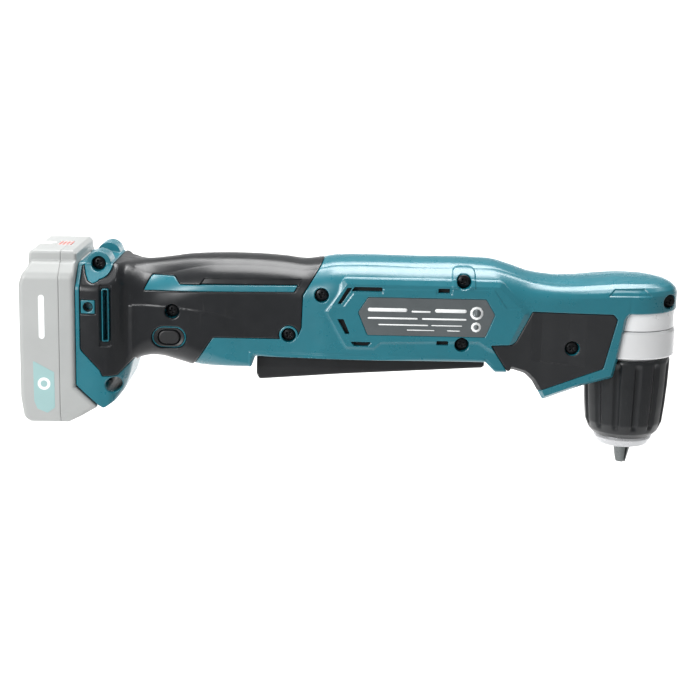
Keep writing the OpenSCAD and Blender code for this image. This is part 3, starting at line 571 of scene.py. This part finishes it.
def grip_field(x, y, z):
    """The soft grip on the -Y side."""
    base = base_form(x, y, z)
    a = np.abs(y)
    crease = 77.8 - 0.0024 * np.clip(x + 240, 0, 60) ** 2
    fade = np.clip((x + 241) / 2, 0, 1) * np.clip((-186 - x) / 26, 0, 1)
    relief = 0.15 + 0.95 * fade * np.clip(0.5 - (z - crease) / 0.9, 0, 1)
    hollow = 0.35 + 0.17 * np.clip(91.2 - z, 0, 3.2)
    relief = relief - hollow * ramp(grip_recess(x, z), 0.4) * (a > 12)
    groove = block(x, 0, z, (-253.6, -1, 58.6), (-247.6, 1, 88.6), 1)
    relief = relief - 0.9 * ramp(groove, 0.9) * (a > 20)
    d = smax(base - relief, grip_zone(x, y, z) + 0.12, 0.7)
    d = np.maximum(d, -(base + GRIP_T - 0.02))
    d = cut(d, dock_slot(x, y, z), 0.3)
    d = np.maximum(d, DOCK_X - x)
    return np.maximum(d, y)


def web_field(x, y, z):
    """The black pad on the web under the neck, on the -Y side."""
    base = base_form(x, y, z)
    crease = 0.6 * np.clip(0.5 + (z - 53.8 + 0.12 * (x + 38)) / 0.6, 0, 1)
    crease = crease * np.clip((-24 - x) / 8, 0, 1) * np.clip((x + 50) / 5, 0, 1)
    d = smax(base - 0.1 + crease, web_area(x, z) + 0.12, 0.6)
    d = np.maximum(np.maximum(d, WEB_IN - np.abs(y)), -(base + GRIP_T - 0.02))
    d = cut(d, across(x, z, SCREWS[6], HOLE_R + 0.1), 0.4)
    d = np.maximum(d, -chuck_room(x, y, z))
    return np.maximum(d, y)


# ---------------------------------------------------------------- materials
def srgb(r, g, b):
    """A linear colour from sRGB values of 0 to 255."""
    lin = [c / 255 / 12.92 if c <= 10 else ((c / 255 + 0.055) / 1.055) ** 2.4 for c in (r, g, b)]
    return (*lin, 1)


def noise(tree, scale, detail=3, stretch=None):
    """Noise in object space; stretch squeezes it along the axes."""
    where = tree.nodes.new("ShaderNodeTexCoord")
    texture = tree.nodes.new("ShaderNodeTexNoise")
    texture.inputs["Scale"].default_value = scale
    texture.inputs["Detail"].default_value = detail
    source = where.outputs["Object"]
    if stretch:
        squeeze = tree.nodes.new("ShaderNodeMapping")
        squeeze.inputs["Scale"].default_value = stretch
        tree.links.new(source, squeeze.inputs["Vector"])
        source = squeeze.outputs["Vector"]
    tree.links.new(source, texture.inputs["Vector"])
    return texture.outputs["Fac"]


def spread(tree, source, low, high):
    node = tree.nodes.new("ShaderNodeMapRange")
    node.inputs["From Min"].default_value = 0.3
    node.inputs["From Max"].default_value = 0.7
    node.inputs["To Min"].default_value = low
    node.inputs["To Max"].default_value = high
    tree.links.new(source, node.inputs["Value"])
    return node.outputs["Result"]


def finish(name, colour, vary, rough, grain, height, metal=0.0, coat=0.0, stretch=None, cloud=60,
           specular=0.5):
    """A procedural finish: colour clouds, roughness that wanders and a fine bump."""
    material = bpy.data.materials.new(name)
    material.use_nodes = True
    tree = material.node_tree
    shader = tree.nodes["Principled BSDF"]
    mix = tree.nodes.new("ShaderNodeMix")
    mix.data_type = "RGBA"
    a, b = mix.inputs[6], mix.inputs[7]
    a.default_value = (*[c * (1 - vary) for c in colour[:3]], 1)
    b.default_value = (*[min(1, c * (1 + vary)) for c in colour[:3]], 1)
    clouds = noise(tree, cloud, 4)
    tree.links.new(spread(tree, clouds, 0, 1), mix.inputs[0])
    tree.links.new(mix.outputs[2], shader.inputs["Base Color"])
    fine = noise(tree, grain, 2, stretch)
    rough_low, rough_high = rough
    tree.links.new(spread(tree, noise(tree, cloud * 3, 3), rough_low, rough_high),
                   shader.inputs["Roughness"])
    bump = tree.nodes.new("ShaderNodeBump")
    bump.inputs["Strength"].default_value = 0.3
    bump.inputs["Distance"].default_value = height * MM
    tree.links.new(fine, bump.inputs["Height"])
    tree.links.new(bump.outputs["Normal"], shader.inputs["Normal"])
    shader.inputs["Metallic"].default_value = metal
    shader.inputs["Specular IOR Level"].default_value = specular
    if coat:
        shader.inputs["Coat Weight"].default_value = coat
        shader.inputs["Coat Roughness"].default_value = 0.12
    return material


TEAL = finish("teal_plastic", srgb(8, 100, 114), 0.05, (0.26, 0.32), 2600, 0.005, specular=0.8)
RUBBER = finish("grip_rubber", srgb(18, 20, 23), 0.08, (0.28, 0.35), 2200, 0.012, specular=0.45)
PAD = finish("pad_plastic", srgb(20, 22, 25), 0.06, (0.42, 0.5), 1800, 0.035)
LEVER = finish("lever_plastic", srgb(13, 15, 18), 0.06, (0.34, 0.42), 1800, 0.03, specular=0.5)
PLATE = finish("plate_film", srgb(98, 104, 106), 0.08, (0.32, 0.42), 900, 0.01, 0.55,
               stretch=(0.05, 1, 1))
MARK = finish("plate_ink", srgb(226, 229, 229), 0.03, (0.4, 0.5), 2000, 0.01)
BLACK_STEEL = finish("black_steel", srgb(26, 27, 29), 0.12, (0.28, 0.4), 1500, 0.02, 0.7)
CAST = finish("cast_alloy", srgb(236, 237, 238), 0.03, (0.26, 0.36), 1400, 0.02, 0.3)
SILVER = finish("silver_ring", srgb(230, 231, 232), 0.03, (0.2, 0.28), 700, 0.012, 0.4,
                stretch=(0.04, 0.04, 3))
NOSE = finish("nose_steel", srgb(184, 185, 187), 0.03, (0.24, 0.32), 700, 0.012, 0.8,
              stretch=(0.04, 0.04, 3))
BEARING = finish("bearing_steel", srgb(172, 175, 178), 0.05, (0.16, 0.24), 900, 0.01, 1.0,
                 stretch=(0.1, 0.1, 2))
GEAR = finish("gear_steel", srgb(140, 143, 146), 0.07, (0.28, 0.38), 1200, 0.02, 1.0)
MOTOR = finish("motor_steel", srgb(62, 64, 66), 0.06, (0.26, 0.38), 800, 0.015, 1.0,
               stretch=(3, 0.2, 0.2))
MAGNET = finish("magnet", srgb(70, 66, 62), 0.1, (0.5, 0.62), 1500, 0.04, 0.3)
BLACK = finish("black_plastic", srgb(16, 17, 19), 0.07, (0.4, 0.5), 1700, 0.03)
BOARD = finish("circuit_board", srgb(26, 84, 48), 0.1, (0.3, 0.42), 600, 0.02)
SINK = finish("heat_sink_metal", srgb(184, 187, 190), 0.05, (0.3, 0.42), 900, 0.02, 1.0,
              stretch=(1, 1, 0.1))
BRASS = finish("brass_part", srgb(204, 166, 92), 0.06, (0.22, 0.32), 1000, 0.015, 1.0)
SLEEVE = finish("sleeve_plastic", srgb(14, 17, 20), 0.06, (0.3, 0.38), 1800, 0.03)
JAW = finish("jaw_steel", srgb(112, 116, 116), 0.06, (0.24, 0.36), 900, 0.02, 1.0,
             stretch=(1, 1, 0.15))
COPPER = finish("copper_winding", srgb(186, 106, 58), 0.14, (0.24, 0.36), 900, 0.12, 1.0,
                stretch=(0.04, 1, 1))
WIRE = finish("lead_sleeve", srgb(52, 50, 52), 0.08, (0.4, 0.5), 1500, 0.02)
BATTERY = finish("battery_plastic", srgb(164, 166, 165), 0.03, (0.36, 0.46), 1700, 0.03)
COVER = finish("battery_cover_plastic", srgb(160, 162, 161), 0.03, (0.36, 0.46), 1700, 0.03)
PATCH = finish("battery_patch", srgb(146, 178, 178), 0.03, (0.4, 0.5), 1500, 0.015)
WRAP = finish("cell_wrap", srgb(62, 122, 168), 0.05, (0.26, 0.34), 700, 0.01)
WHITE = finish("white_button", srgb(236, 237, 236), 0.02, (0.32, 0.4), 1600, 0.02)
INDICATOR = finish("indicator", srgb(214, 202, 198), 0.03, (0.14, 0.2), 900, 0.01, coat=0.6)
INDICATOR_BAR = finish("indicator_bar", srgb(190, 96, 88), 0.05, (0.2, 0.28), 900, 0.01)
LENS = finish("lens", srgb(236, 240, 236), 0.02, (0.06, 0.1), 500, 0.01, coat=1.0)


def dress(obj, material, slot, body, *replaced):
    obj.data.materials.clear()
    obj.data.materials.append(material)
    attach(obj, body)
    if replaced:
        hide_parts(*replaced)
    return obj


# ---------------------------------------------------------------- housing, grips and pads
def build_housing():
    for side, y0, y1 in (("right", -34, 1.2), ("left", -1.2, 34)):
        shell = moulded("housing_shell_" + side,
                        lambda x, y, z: housing_field(x, y, z, side == "right"),
                        (-266, y0, 27), (24, y1, 105), FINE)
        dress(shell, TEAL, "teal_plastic", "housing", "housing_" + side)


def build_vent_shade_sheets():
    """Black sheets inside the side walls, behind the vents: painted shade that makes the vents look
    dark inside.
    """
    outline = [(-145, 77), (-138, 91), (-86, 91), (-86, 59.5), (-138, 59.5)]
    for side, y in (("right", -21.4), ("left", 20.9)):
        # painted shade: a black sheet that hides the lit interior seen through the vents
        sheet = prism("vent_shade_sheet_" + side, outline, y, y + 0.5, 0.1)
        dress(sheet, BLACK, "black_plastic", "housing")


def build_grips():
    low, high = (-266, -34, 42), (-145, 1.2, 103)
    for side in ("right", "left"):
        grip = moulded("soft_grip_" + side, grip_field, low, high, FINE, mirror=side == "left")
        dress(grip, RUBBER, "grip_rubber", "housing", "grip_" + side)
        pad = moulded("web_cover_" + side, web_field, (-71, -26, 34), (-7, -17, 80), FINE,
                      mirror=side == "left")
        dress(pad, PAD, "grip_rubber", "housing", "web_pad_" + side)


# ---------------------------------------------------------------- plain pieces
def prism(name, points, y0, y1, bevel):
    """An outline in the XZ plane made solid from y0 to y1, with rounded edges."""
    n = len(points)
    ring = [(p[0], y, p[1]) for y in (y0, y1) for p in points]
    mesh = bpy.data.meshes.new(name)
    faces = [list(range(n))[::-1], list(range(n, 2 * n))]
    faces += [[i, (i + 1) % n, n + (i + 1) % n, n + i] for i in range(n)]
    mesh.from_pydata([[c * MM for c in p] for p in ring], [], faces)
    obj = new_object(name, mesh)
    return softened(obj, bevel) if bevel else obj


def softened(obj, bevel, segments=3, angle=35):
    """Rounds an object's edges with a bevel that keeps its faces flat."""
    for polygon in obj.data.polygons:
        polygon.use_smooth = True
    modifier = obj.modifiers.new("edges", "BEVEL")
    modifier.width = bevel * MM
    modifier.segments = segments
    modifier.limit_method = "ANGLE"
    modifier.angle_limit = math.radians(angle)
    modifier.harden_normals = True
    modifier.use_clamp_overlap = True
    return obj


def lathe(name, profile, turns, radius=None):
    """A closed profile of (radius, height) turned about the chuck axis; radius() may vary it."""
    p = np.array(profile, float)
    angle = np.linspace(0, 2 * math.pi, turns, endpoint=False)
    r = np.repeat(p[:, 0][:, None], turns, 1)
    z = np.repeat(p[:, 1][:, None], turns, 1)
    if radius is not None:
        r = radius(r, z, angle[None, :])
    points = np.stack([r * np.cos(angle), r * np.sin(angle), z], 2).reshape(-1, 3)
    n = len(p)
    i = np.arange(n)
    k = np.arange(turns)
    a = (i[:, None] * turns + k[None, :]).ravel()
    b = (i[:, None] * turns + (k[None, :] + 1) % turns).ravel()
    c = ((i[:, None] + 1) % n * turns + (k[None, :] + 1) % turns).ravel()
    d = ((i[:, None] + 1) % n * turns + k[None, :]).ravel()
    return new_mesh(name, points, np.stack([a, b, c, d], 1))


def fine_profile(points, radius, gap=1.0):
    """A profile with rounded corners and no stretch longer than gap."""
    curve = rounded(points, radius, 4)
    out = []
    for a, b in zip(curve, curve[1:] + curve[:1]):
        length = float(np.linalg.norm(np.array(b) - np.array(a)))
        count = max(1, math.ceil(length / gap))
        out += [np.array(a) + (np.array(b) - np.array(a)) * k / count for k in range(count)]
    return out


FLUTES = 13


def fluted(r, z, angle):
    """The sleeve's outer wall with its flutes pressed in."""
    phase = (angle * FLUTES / (2 * math.pi) + 0.5) % 1 - 0.5
    across_flute = phase * 2 * math.pi * 19.5 / FLUTES
    dip = np.clip(1.2 - (across_flute / 1.9) ** 2 * 1.2, 0, 1.2)
    ends = np.clip((z - 17.8) / 4, 0, 1) * np.clip((54.2 - z) / 4, 0, 1)
    outside = np.clip((r - 17.6) / 0.8, 0, 1)
    return r - outside * dip * ends * ends * (3 - 2 * ends)


def build_chuck():
    sleeve = lathe("chuck_sleeve_grip", fine_profile([
        (11.58, 15.2), (14.7, 15.2), (17, 17.6), (18.8, 22), (19.7, 31), (20.4, 41),
        (20.8, 53), (20.2, 54.5), (17.58, 54.5), (17.58, 24.4), (15.4, 17.6), (11.58, 17.6)],
        [0.3, 0.6, 2, 4, 8, 12, 1, 0.8, 0.3, 1, 0.3, 0.2], 0.8), FLUTES * 26, radius=fluted)
    dress(sleeve, SLEEVE, "sleeve_plastic", "sleeve", "chuck_sleeve")
    ring = lathe("chuck_rear_ring", fine_profile([
        (17, 55.9), (21.9, 55.9), (22.4, 56.4), (22.4, 68.1), (21.7, 69.2), (16, 69.2),
        (16, 67.8), (12.3, 67.8), (12.3, 64.6), (17, 64.6)],
        [0.2, 0.4, 0.3, 0.5, 0.4, 0.2, 0.2, 0.2, 0.2, 0.2], 2), 160)
    dress(ring, SILVER, "silver_ring", "spindle", "chuck_ring")
    nose = lathe("chuck_nose", fine_profile([
        (11.5, 10.4), (12.3, 10.4), (14.2, 13.6), (14.2, 15), (11.5, 15)],
        [0.25, 0.5, 0.4, 0.1, 0.1], 1), 128)
    dress(nose, NOSE, "silver_ring", "spindle", "nose_ring")


# ---------------------------------------------------------------- trigger, spring and button
lever_line = Outline(rounded([
    (-180.6, 43.4), (-179.3, 40.6), (-140, 43.9), (-72, 48.4), (-70.7, 49.4), (-70.7, 52.8),
    (-180.5, 52.6)], [1.4, 1.6, 30, 0.8, 0.6, 0.5, 0.5]), margin=10)
lever_room = Outline([(-178.3, 43), (-140, 46.1), (-73, 50.6), (-73, 60), (-178.3, 60)], margin=10)


def paddle_field(x, y, z):
    a = np.abs(y)
    d = smax(lever_line(x, z), a - PADDLE_HALF + 0.35 * np.clip((47 - z) / 6, 0, 1), 1.1)
    d = np.maximum(d, -np.maximum(lever_room(x, z), a - PADDLE_HALF + 2))
    barrel = np.maximum(across(x, z, (PIN_X, PIN_Z), 3.4), a - PADDLE_HALF + 2)
    d = np.minimum(d, barrel)
    d = np.minimum(d, block(x, a, z, (PIN_X - 3, -20, 48), (PIN_X + 2.6, 11, PIN_Z), 0.2))
    d = np.minimum(d, block(x, a, z, (-178.4, -9, 41.5), (-172.5, 4, 50), 0.2))
    return np.maximum(d, -across(x, z, (PIN_X, PIN_Z), PIN_R + 0.05))


def button_field(x, y, z):
    return smax(button_shape(x, z), np.abs(y) - 21.6, 0.9)


def surround_field(x, y, z):
    """The dished ring round the reversing button, on the -Y side."""
    edge = button_well(x, z)
    dish = -y - 21.1 - 0.32 * np.clip(edge + 2.2, -1, 3)
    d = smax(smax(edge + 0.12, dish, 0.25), y + 17.5, 0.2)
    return cut(d, button_shape(x, z) - 0.25, 0.4)


button_shape = Outline(oval(*BUTTON, 5.15, 3.4), step=0.15)


def coil(name, x, radius, wire, low, high, turns):
    """An upright coil of round wire on the tool's centre plane, with closed ends."""
    angle = np.linspace(0, 2 * math.pi * turns, turns * 24 + 1)[:, None]
    around = np.linspace(0, 2 * math.pi, 8, endpoint=False)[None, :]
    r = radius + wire * np.cos(around)
    points = np.stack([x + r * np.cos(angle), r * np.sin(angle),
                       low + (high - low) * angle / angle[-1] + wire * np.sin(around)], 2)
    n = len(angle)
    i, k = np.meshgrid(np.arange(n - 1), np.arange(8), indexing="ij")
    j = (k + 1) % 8
    side = np.stack([i * 8 + k, i * 8 + j, i * 8 + 8 + j, i * 8 + 8 + k], 2).reshape(-1, 4)
    cap = np.array([(0, 1, 2, 3), (0, 3, 4, 7), (7, 4, 5, 6)])
    faces = np.concatenate([side[:, ::-1], cap, cap[:, ::-1] + (n - 1) * 8])
    return new_mesh(name, points.reshape(-1, 3), faces)


def build_spring():
    """The paddle's return spring: two nested coils that slide into each other."""
    outer = coil("return_spring_outer", -130, 3.1, 0.45, 52.4, 59.5, 5)
    dress(outer, BEARING, "bearing_steel", "housing", "trigger_spring")
    inner = coil("return_spring_inner", -130, 1.6, 0.35, 47.4, 54, 5)
    dress(inner, BEARING, "bearing_steel", "trigger")


def build_controls():
    paddle = moulded("paddle", paddle_field, (-182, -14, 39), (-69, 14, 60), FINE)
    dress(paddle, LEVER, "black_plastic", "trigger", "trigger_paddle")
    button = moulded("reversing_button", button_field, (-228, -23, 58), (-216, 23, 67), SMALL * 1.4)
    dress(button, BLACK, "black_plastic", "direction", "direction_button")
    for side in ("right", "left"):
        ring = moulded("button_surround_" + side, surround_field,
                       (-230, -23, 56), (-213, -17, 68.5), SMALL, mirror=side == "left")
        dress(ring, BLACK, "black_plastic", "housing")


# ---------------------------------------------------------------- screws and plates
def screw_head_field(x, y, z):
    """A screw's head about the Y axis with a cross recess, its top at y = 0."""
    r = np.hypot(x, z)
    dome_top = np.sqrt(r * r + (y - 7) ** 2) - 7
    d = smax(np.maximum(r - 3.05, y - 2.4), dome_top, 0.35)
    taper = np.clip((2.1 - y) / 2.1, 0.05, 1)
    arm = np.minimum(np.maximum(np.abs(x) - 0.42, np.abs(z) - 1.75 * taper),
                     np.maximum(np.abs(z) - 0.42, np.abs(x) - 1.75 * taper))
    cross = np.maximum(np.minimum(arm, r - 0.75 * taper), y - 1.9)
    d = cut(d, cross, 0.12)
    shank = np.maximum(r - 1.5, np.abs(y - 12) - 11)
    return np.minimum(d, shank)


def nut_field(x, y, z):
    a = np.abs(y)
    d = block(x, a, z, (NUT[0] - 3.5, 27.5, NUT[1] - 3.5), (NUT[0] + 3.5, 30.6, NUT[1] + 3.5), 0.3)
    return cut(d, across(x, z, NUT, 1.65), 0.35)


def build_screws():
    nuts = moulded("belt_hook_nuts", nut_field, (-263, -32, 73), (-254, 32, 83), SMALL)
    dress(nuts, BLACK_STEEL, "brass_part", "housing", "hook_nuts")
    low, high, step = (-3.6, -0.8, -3.6), (3.6, 3.2, 3.6), 0.16
    points, quads = surface_net(screw_head_field, low, high, step)
    groups, faces = [], []
    for x, z, w in SCREWS:
        turn = math.radians((x * 7.3) % 90)
        c, s = math.cos(turn), math.sin(turn)
        spun = np.stack([points[:, 0] * c - points[:, 2] * s, points[:, 1],
                         points[:, 0] * s + points[:, 2] * c], 1)
        faces.append(quads + sum(len(g) for g in groups))
        groups.append(spun + np.array([x, 2.0 - w, z]))
    heads = new_mesh("screw_heads", np.concatenate(groups), np.concatenate(faces))
    dress(heads, BLACK_STEEL, "black_steel", "housing", "housing_screws")


def plate_bars(name, rows, y0, material):
    """Flat bars with round ends on the rating plate, as one mesh."""
    points, faces = [], []
    for x0, x1, z, half in rows:
        outline = oval((x0 + x1) / 2, z, (x1 - x0) / 2, half, 5)
        n, base = len(outline), len(points)
        points += [(u, y, v) for y in (y0, -25.0) for u, v in outline]
        for k in range(1, n - 1):
            faces += [(base, base + k, base + k + 1), (base + n, base + n + k + 1, base + n + k)]
        for k in range(n):
            j = (k + 1) % n
            faces += [(base + k, base + n + k, base + n + j), (base + k, base + n + j, base + j)]
    dress(new_mesh(name, np.array(points), np.array(faces)), material, "plate", "housing")


def build_plates():
    for name, sign in (("rating_plate", -1), ("name_plate", 1)):
        outer, inner = sign * 24.6, sign * 25.1
        face = prism(name + "_film", plate_area, min(outer, inner), max(outer, inner), 0.12)
        dress(face, PLATE, "plate", "housing", name)
    plate_bars("plate_marks", [
        (-127.6, -109, 78.3, 0.85), (-107, -98, 77.7, 0.4), (-96, -81, 78.3, 0.85),
        (-127.6, -104, 74.3, 0.4), (-102, -81, 74.3, 0.4), (-122.5, -99, 71.2, 0.3),
        (-97.5, -83, 71.2, 0.22), (-109, -96, 68.8, 0.2), (-90, -84, 68.8, 0.2),
        (-79.5, -73.1, 77.5, 3.2), (-78.8, -74, 70.8, 2.4)], -25.2, MARK)
    centres = [(-78.4, -74.2, 77.5, 2.1), (-77.7, -75.1, 70.8, 1.3)]
    plate_bars("plate_mark_centres", centres, -25.23, PLATE)


# ---------------------------------------------------------------- battery
BACK_X, FACE_X, SEAM_X = -290.8, -264.8, -272
BATTERY_W = 32.85
pack_side = Outline(rounded([
    (BACK_X + 1.2, 92), (BACK_X, 88), (BACK_X, 34), (-289.2, 23.5), (-287, 21.3),
    (-268.8, 21.3), (-254.4, 29.9), (FACE_X, 39.4), (FACE_X, 98.6), (-285.4, 98.6)],
    [3, 3, 3, 2, 2, 3, 1, 0.5, 0.8, 2.5]), margin=8)
pack_top = Outline(rounded([
    (-288, 90), (-287, 102.2), (-285.6, 103.3), (-266.5, 103.3), (FACE_X, 101.8), (FACE_X, 90)],
    [0, 1.2, 1.2, 1, 1, 0]), margin=8)


def pack_field(x, y, z, rear):
    a = np.abs(y)
    d = smax(pack_side(x, z), a - BATTERY_W, 2.2)
    d = smax(d, (a + z - (BATTERY_W + 92.6)) * 0.707, 1.5)
    foot = a * 0.8 - z * 0.6 - (BATTERY_W * 0.8 - 26 * 0.6)
    d = smax(d, foot, 1.5)
    top = smax(pack_top(x, z), a - 25, 1.4)
    d = smin(d, top, 0.5)
    d = d + 0.1 * line(x - SEAM_X, 0.3)
    rail = np.minimum(block(x, a, z, (FACE_X - 0.1, -20, 50), (-260.9, 14, 97), 0.3),
                      block(x, a, z, (-261, -30, 50), (-257.9, 18, 97), 0.3))
    d = np.minimum(d, rail)
    d = np.maximum(d, -block(x, a, z, (-288.2, -40, 23.8), (-267.4, 30.4, 91), 0.5))
    blade = block(x, np.abs(a - 8), z, (-261.5, -2, 81), (-257, 0.8, 98), 0.1)
    d = np.maximum(d, -blade)
    well = np.maximum(np.hypot(x + 283.4, np.maximum(a - 1.7, 0)) - 3.6, 100.8 - z)
    d = cut(d, well, 0.2)
    d = cut(d, block(x, a, z, (-277.4, -20, 102.6), (-270.6, 6.4, 110), 0.1), 0.15)
    d = cut(d, block(x, a, z, (-293, -30, 90.2), (-282.2, 12.3, 96.5), 0.2), 0.3)
    return np.maximum(d, x - SEAM_X if rear else SEAM_X - x)


def build_battery():
    low, high = (-292, -34, 20), (-252, 34, 105)
    case = moulded("battery_tub", lambda x, y, z: pack_field(x, y, z, True),
                   low, (-271, 34, 105), FINE * 1.25)
    dress(case, BATTERY, "battery_plastic", "battery", "battery_case")
    cover = moulded("battery_lid", lambda x, y, z: pack_field(x, y, z, False),
                    (-273, -34, 20), high, FINE * 1.25)
    dress(cover, COVER, "battery_plastic", "battery", "battery_cover")
    patch = rounded([(-284.4, 51.9), (-274.5, 46.6), (-274.4, 29.5), (-278, 26.8), (-282.7, 28.8),
                     (-284.2, 32.5)], [0.4, 0.4, 0.8, 0.8, 0.8, 0.8])
    rounds = [("mark_low", oval(-279.4, 41, 3, 3)), ("mark_dot", oval(-279.4, 41, 1.6, 1.6)),
              ("mark_bar", [(-280 + v, 73 + u) for u, v in oval(0, 0, 10.5, 1.4)])]
    for side, y in (("right", -32.93), ("left", 32.78)):
        film = prism("battery_patch_" + side, patch, y, y + 0.15, 0.04)
        dress(film, PATCH, "battery_plastic", "battery")
        for k, (name, outline) in enumerate(rounds):
            depth = 0.02 * (k + 1) * (1 if y > 0 else -1)
            y0, y1 = y + min(depth, 0), y + 0.15 + max(depth, 0)
            mark = prism(name + "_" + side, outline, y0, y1, 0)
            dress(mark, (MARK, PATCH, MARK)[k], "battery_plastic", "battery")
    for k in range(4):
        x = -276.6 + 1.75 * k
        section = [(x, 103.1), (x + 0.8, 103.1), (x + 0.8, 103.36), (x, 103.36)]
        glow = prism("charge_bar_%d" % (k + 1), section, -4.6, 4.6, 0.05)
        dress(glow, INDICATOR_BAR, "indicator", "battery")


# ---------------------------------------------------------------- pieces that keep their CAD shape
CAD_FINISH = {
    "head_case": (CAST, 0.3), "spindle_bearings": (BEARING, 0.3), "pinion_bearings": (BEARING, 0.3),
    "gearbox_case": (CAST, 0.2), "ring_gear": (GEAR, 0.05), "motor_can": (MOTOR, 0.3),
    "motor_magnets": (MAGNET, 0.2), "motor_end_bell": (BLACK, 0.3),
    "motor_bearings": (BEARING, 0.2), "carbon_brushes": (MAGNET, 0.15),
    "switch_body": (BLACK, 0.5), "controller_board": (BOARD, 0.1), "heat_sink": (SINK, 0.15),
    "terminal_block": (BLACK, 0.4), "contact_blades": (BRASS, 0.1), "led_board": (BOARD, 0.1),
    "led_lens": (LENS, 0.3), "trigger_pin": (BEARING, 0.2),
    "motor_leads": (WIRE, 0), "battery_leads": (WIRE, 0), "led_leads": (WIRE, 0),
    "switch_plunger": (BLACK, 0.2), "armature": (COPPER, 0.15),
    "motor_shaft": (BEARING, 0.2), "sun_gear": (GEAR, 0.05), "cooling_fan": (BLACK, 0.1),
    "planet_gear_1": (GEAR, 0.05), "planet_gear_2": (GEAR, 0.05), "planet_gear_3": (GEAR, 0.05),
    "planet_carrier": (GEAR, 0.1), "bevel_pinion": (GEAR, 0.08), "spindle": (BEARING, 0.15),
    "bevel_gear": (GEAR, 0.08), "chuck_body": (CAST, 0.2), "jaw_nut": (BRASS, 0.15),
    "jaw_1": (JAW, 0.15), "jaw_2": (JAW, 0.15), "jaw_3": (JAW, 0.15),
    "battery_cells": (WRAP, 0.6), "indicator_lens": (INDICATOR, 0.1),
    "battery_latch": (COVER, 0.4), "check_button": (WHITE, 0.4)}


def dress_cad_nodes():
    for name, (material, bevel) in CAD_FINISH.items():
        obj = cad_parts[name]
        obj.data.materials.clear()
        obj.data.materials.append(material)
        if bevel:
            softened(obj, bevel, 2, 30)


# ---------------------------------------------------------------- stage, light and camera
def area_light(name, place, target, size, power):
    data = bpy.data.lights.new(name, "AREA")
    data.shape = "RECTANGLE"
    data.size, data.size_y = size
    data.energy = power
    obj = new_object(name, data)
    obj.location = place
    obj.rotation_euler = (Vector(target) - Vector(place)).to_track_quat("-Z", "Y").to_euler()


def build_stage():
    """A pale sheet that curves up behind the tool, a grey flag above it, and soft lights."""
    floor_z, wall_y, bend, half, top, flag_top = -0.6, 1.7, 0.5, 4.0, 0.3, 2.6
    profile = [(-3.0, floor_z), (wall_y - bend, floor_z)]
    profile += [(wall_y - bend + bend * math.sin(t), floor_z + bend * (1 - math.cos(t)))
                for t in [math.radians(7.5 * k) for k in range(1, 13)]]
    profile.append((wall_y, top))
    points = [(x, y, z) for y, z in profile for x in (-half, half)]
    faces = [(2 * k, 2 * k + 1, 2 * k + 3, 2 * k + 2) for k in range(len(profile) - 1)]
    flag = [(x, wall_y, z) for z in (top, flag_top) for x in (-half, half)]
    for name, look, corners, quads, grey, vary in (
            ("backdrop", "backdrop_paper", points, faces, 248, 0.005),
            ("grey_flag", "flag_cloth", flag, [(0, 1, 3, 2)], 110, 0.02)):
        obj = new_mesh(name, np.array(corners) / MM, quads)
        obj.data.materials.append(finish(look, srgb(grey, grey, grey), vary, (0.9, 0.95),
                                         300, 0.05, specular=0.1))
    world = bpy.context.scene.world = bpy.data.worlds.new("studio")
    world.use_nodes = True
    sky = world.node_tree.nodes["Background"].inputs
    sky["Color"].default_value = (1, 1, 1, 1)
    sky["Strength"].default_value = 0.42
    area_light("top_box", (-0.09, 0.1, 0.86), (-0.09, 0.1, 0), (0.52, 0.42), 7.2)
    area_light("front_box", (-0.9, -0.95, 0.5), (-0.15, 0, 0.06), (0.6, 0.6), 17)
    area_light("back_box", (-0.13, 0.6, 1.1), (-0.13, 1.7, -0.3), (2.0, 0.6), 40)


def build_camera():
    """Looks along +Y from 12 degrees above, turned a little about its own axis."""
    target, distance = Vector((-0.1366, 0, 0.0542)), 0.758
    elevation, roll = math.radians(12), math.radians(1.2)
    forward = Vector((0, math.cos(elevation), -math.sin(elevation)))
    level, rise = Vector((1, 0, 0)), Vector((0, math.sin(elevation), math.cos(elevation)))
    right = level * math.cos(roll) + rise * math.sin(roll)
    up = rise * math.cos(roll) - level * math.sin(roll)
    data = bpy.data.cameras.new("camera")
    data.lens, data.sensor_width = 80, 36
    data.dof.use_dof = False
    data.clip_start = 0.01
    obj = new_object("camera", data)
    matrix = Matrix((right, up, -forward)).transposed().to_4x4()
    matrix.translation = target - forward * distance
    obj.matrix_world = matrix
    bpy.context.scene.camera = obj
    bpy.context.scene.view_settings.view_transform = "Standard"


build_camera()
build_stage()
build_housing()
build_grips()
build_vent_shade_sheets()
build_chuck()
build_controls()
build_spring()
build_screws()
build_plates()
build_battery()
dress_cad_nodes()
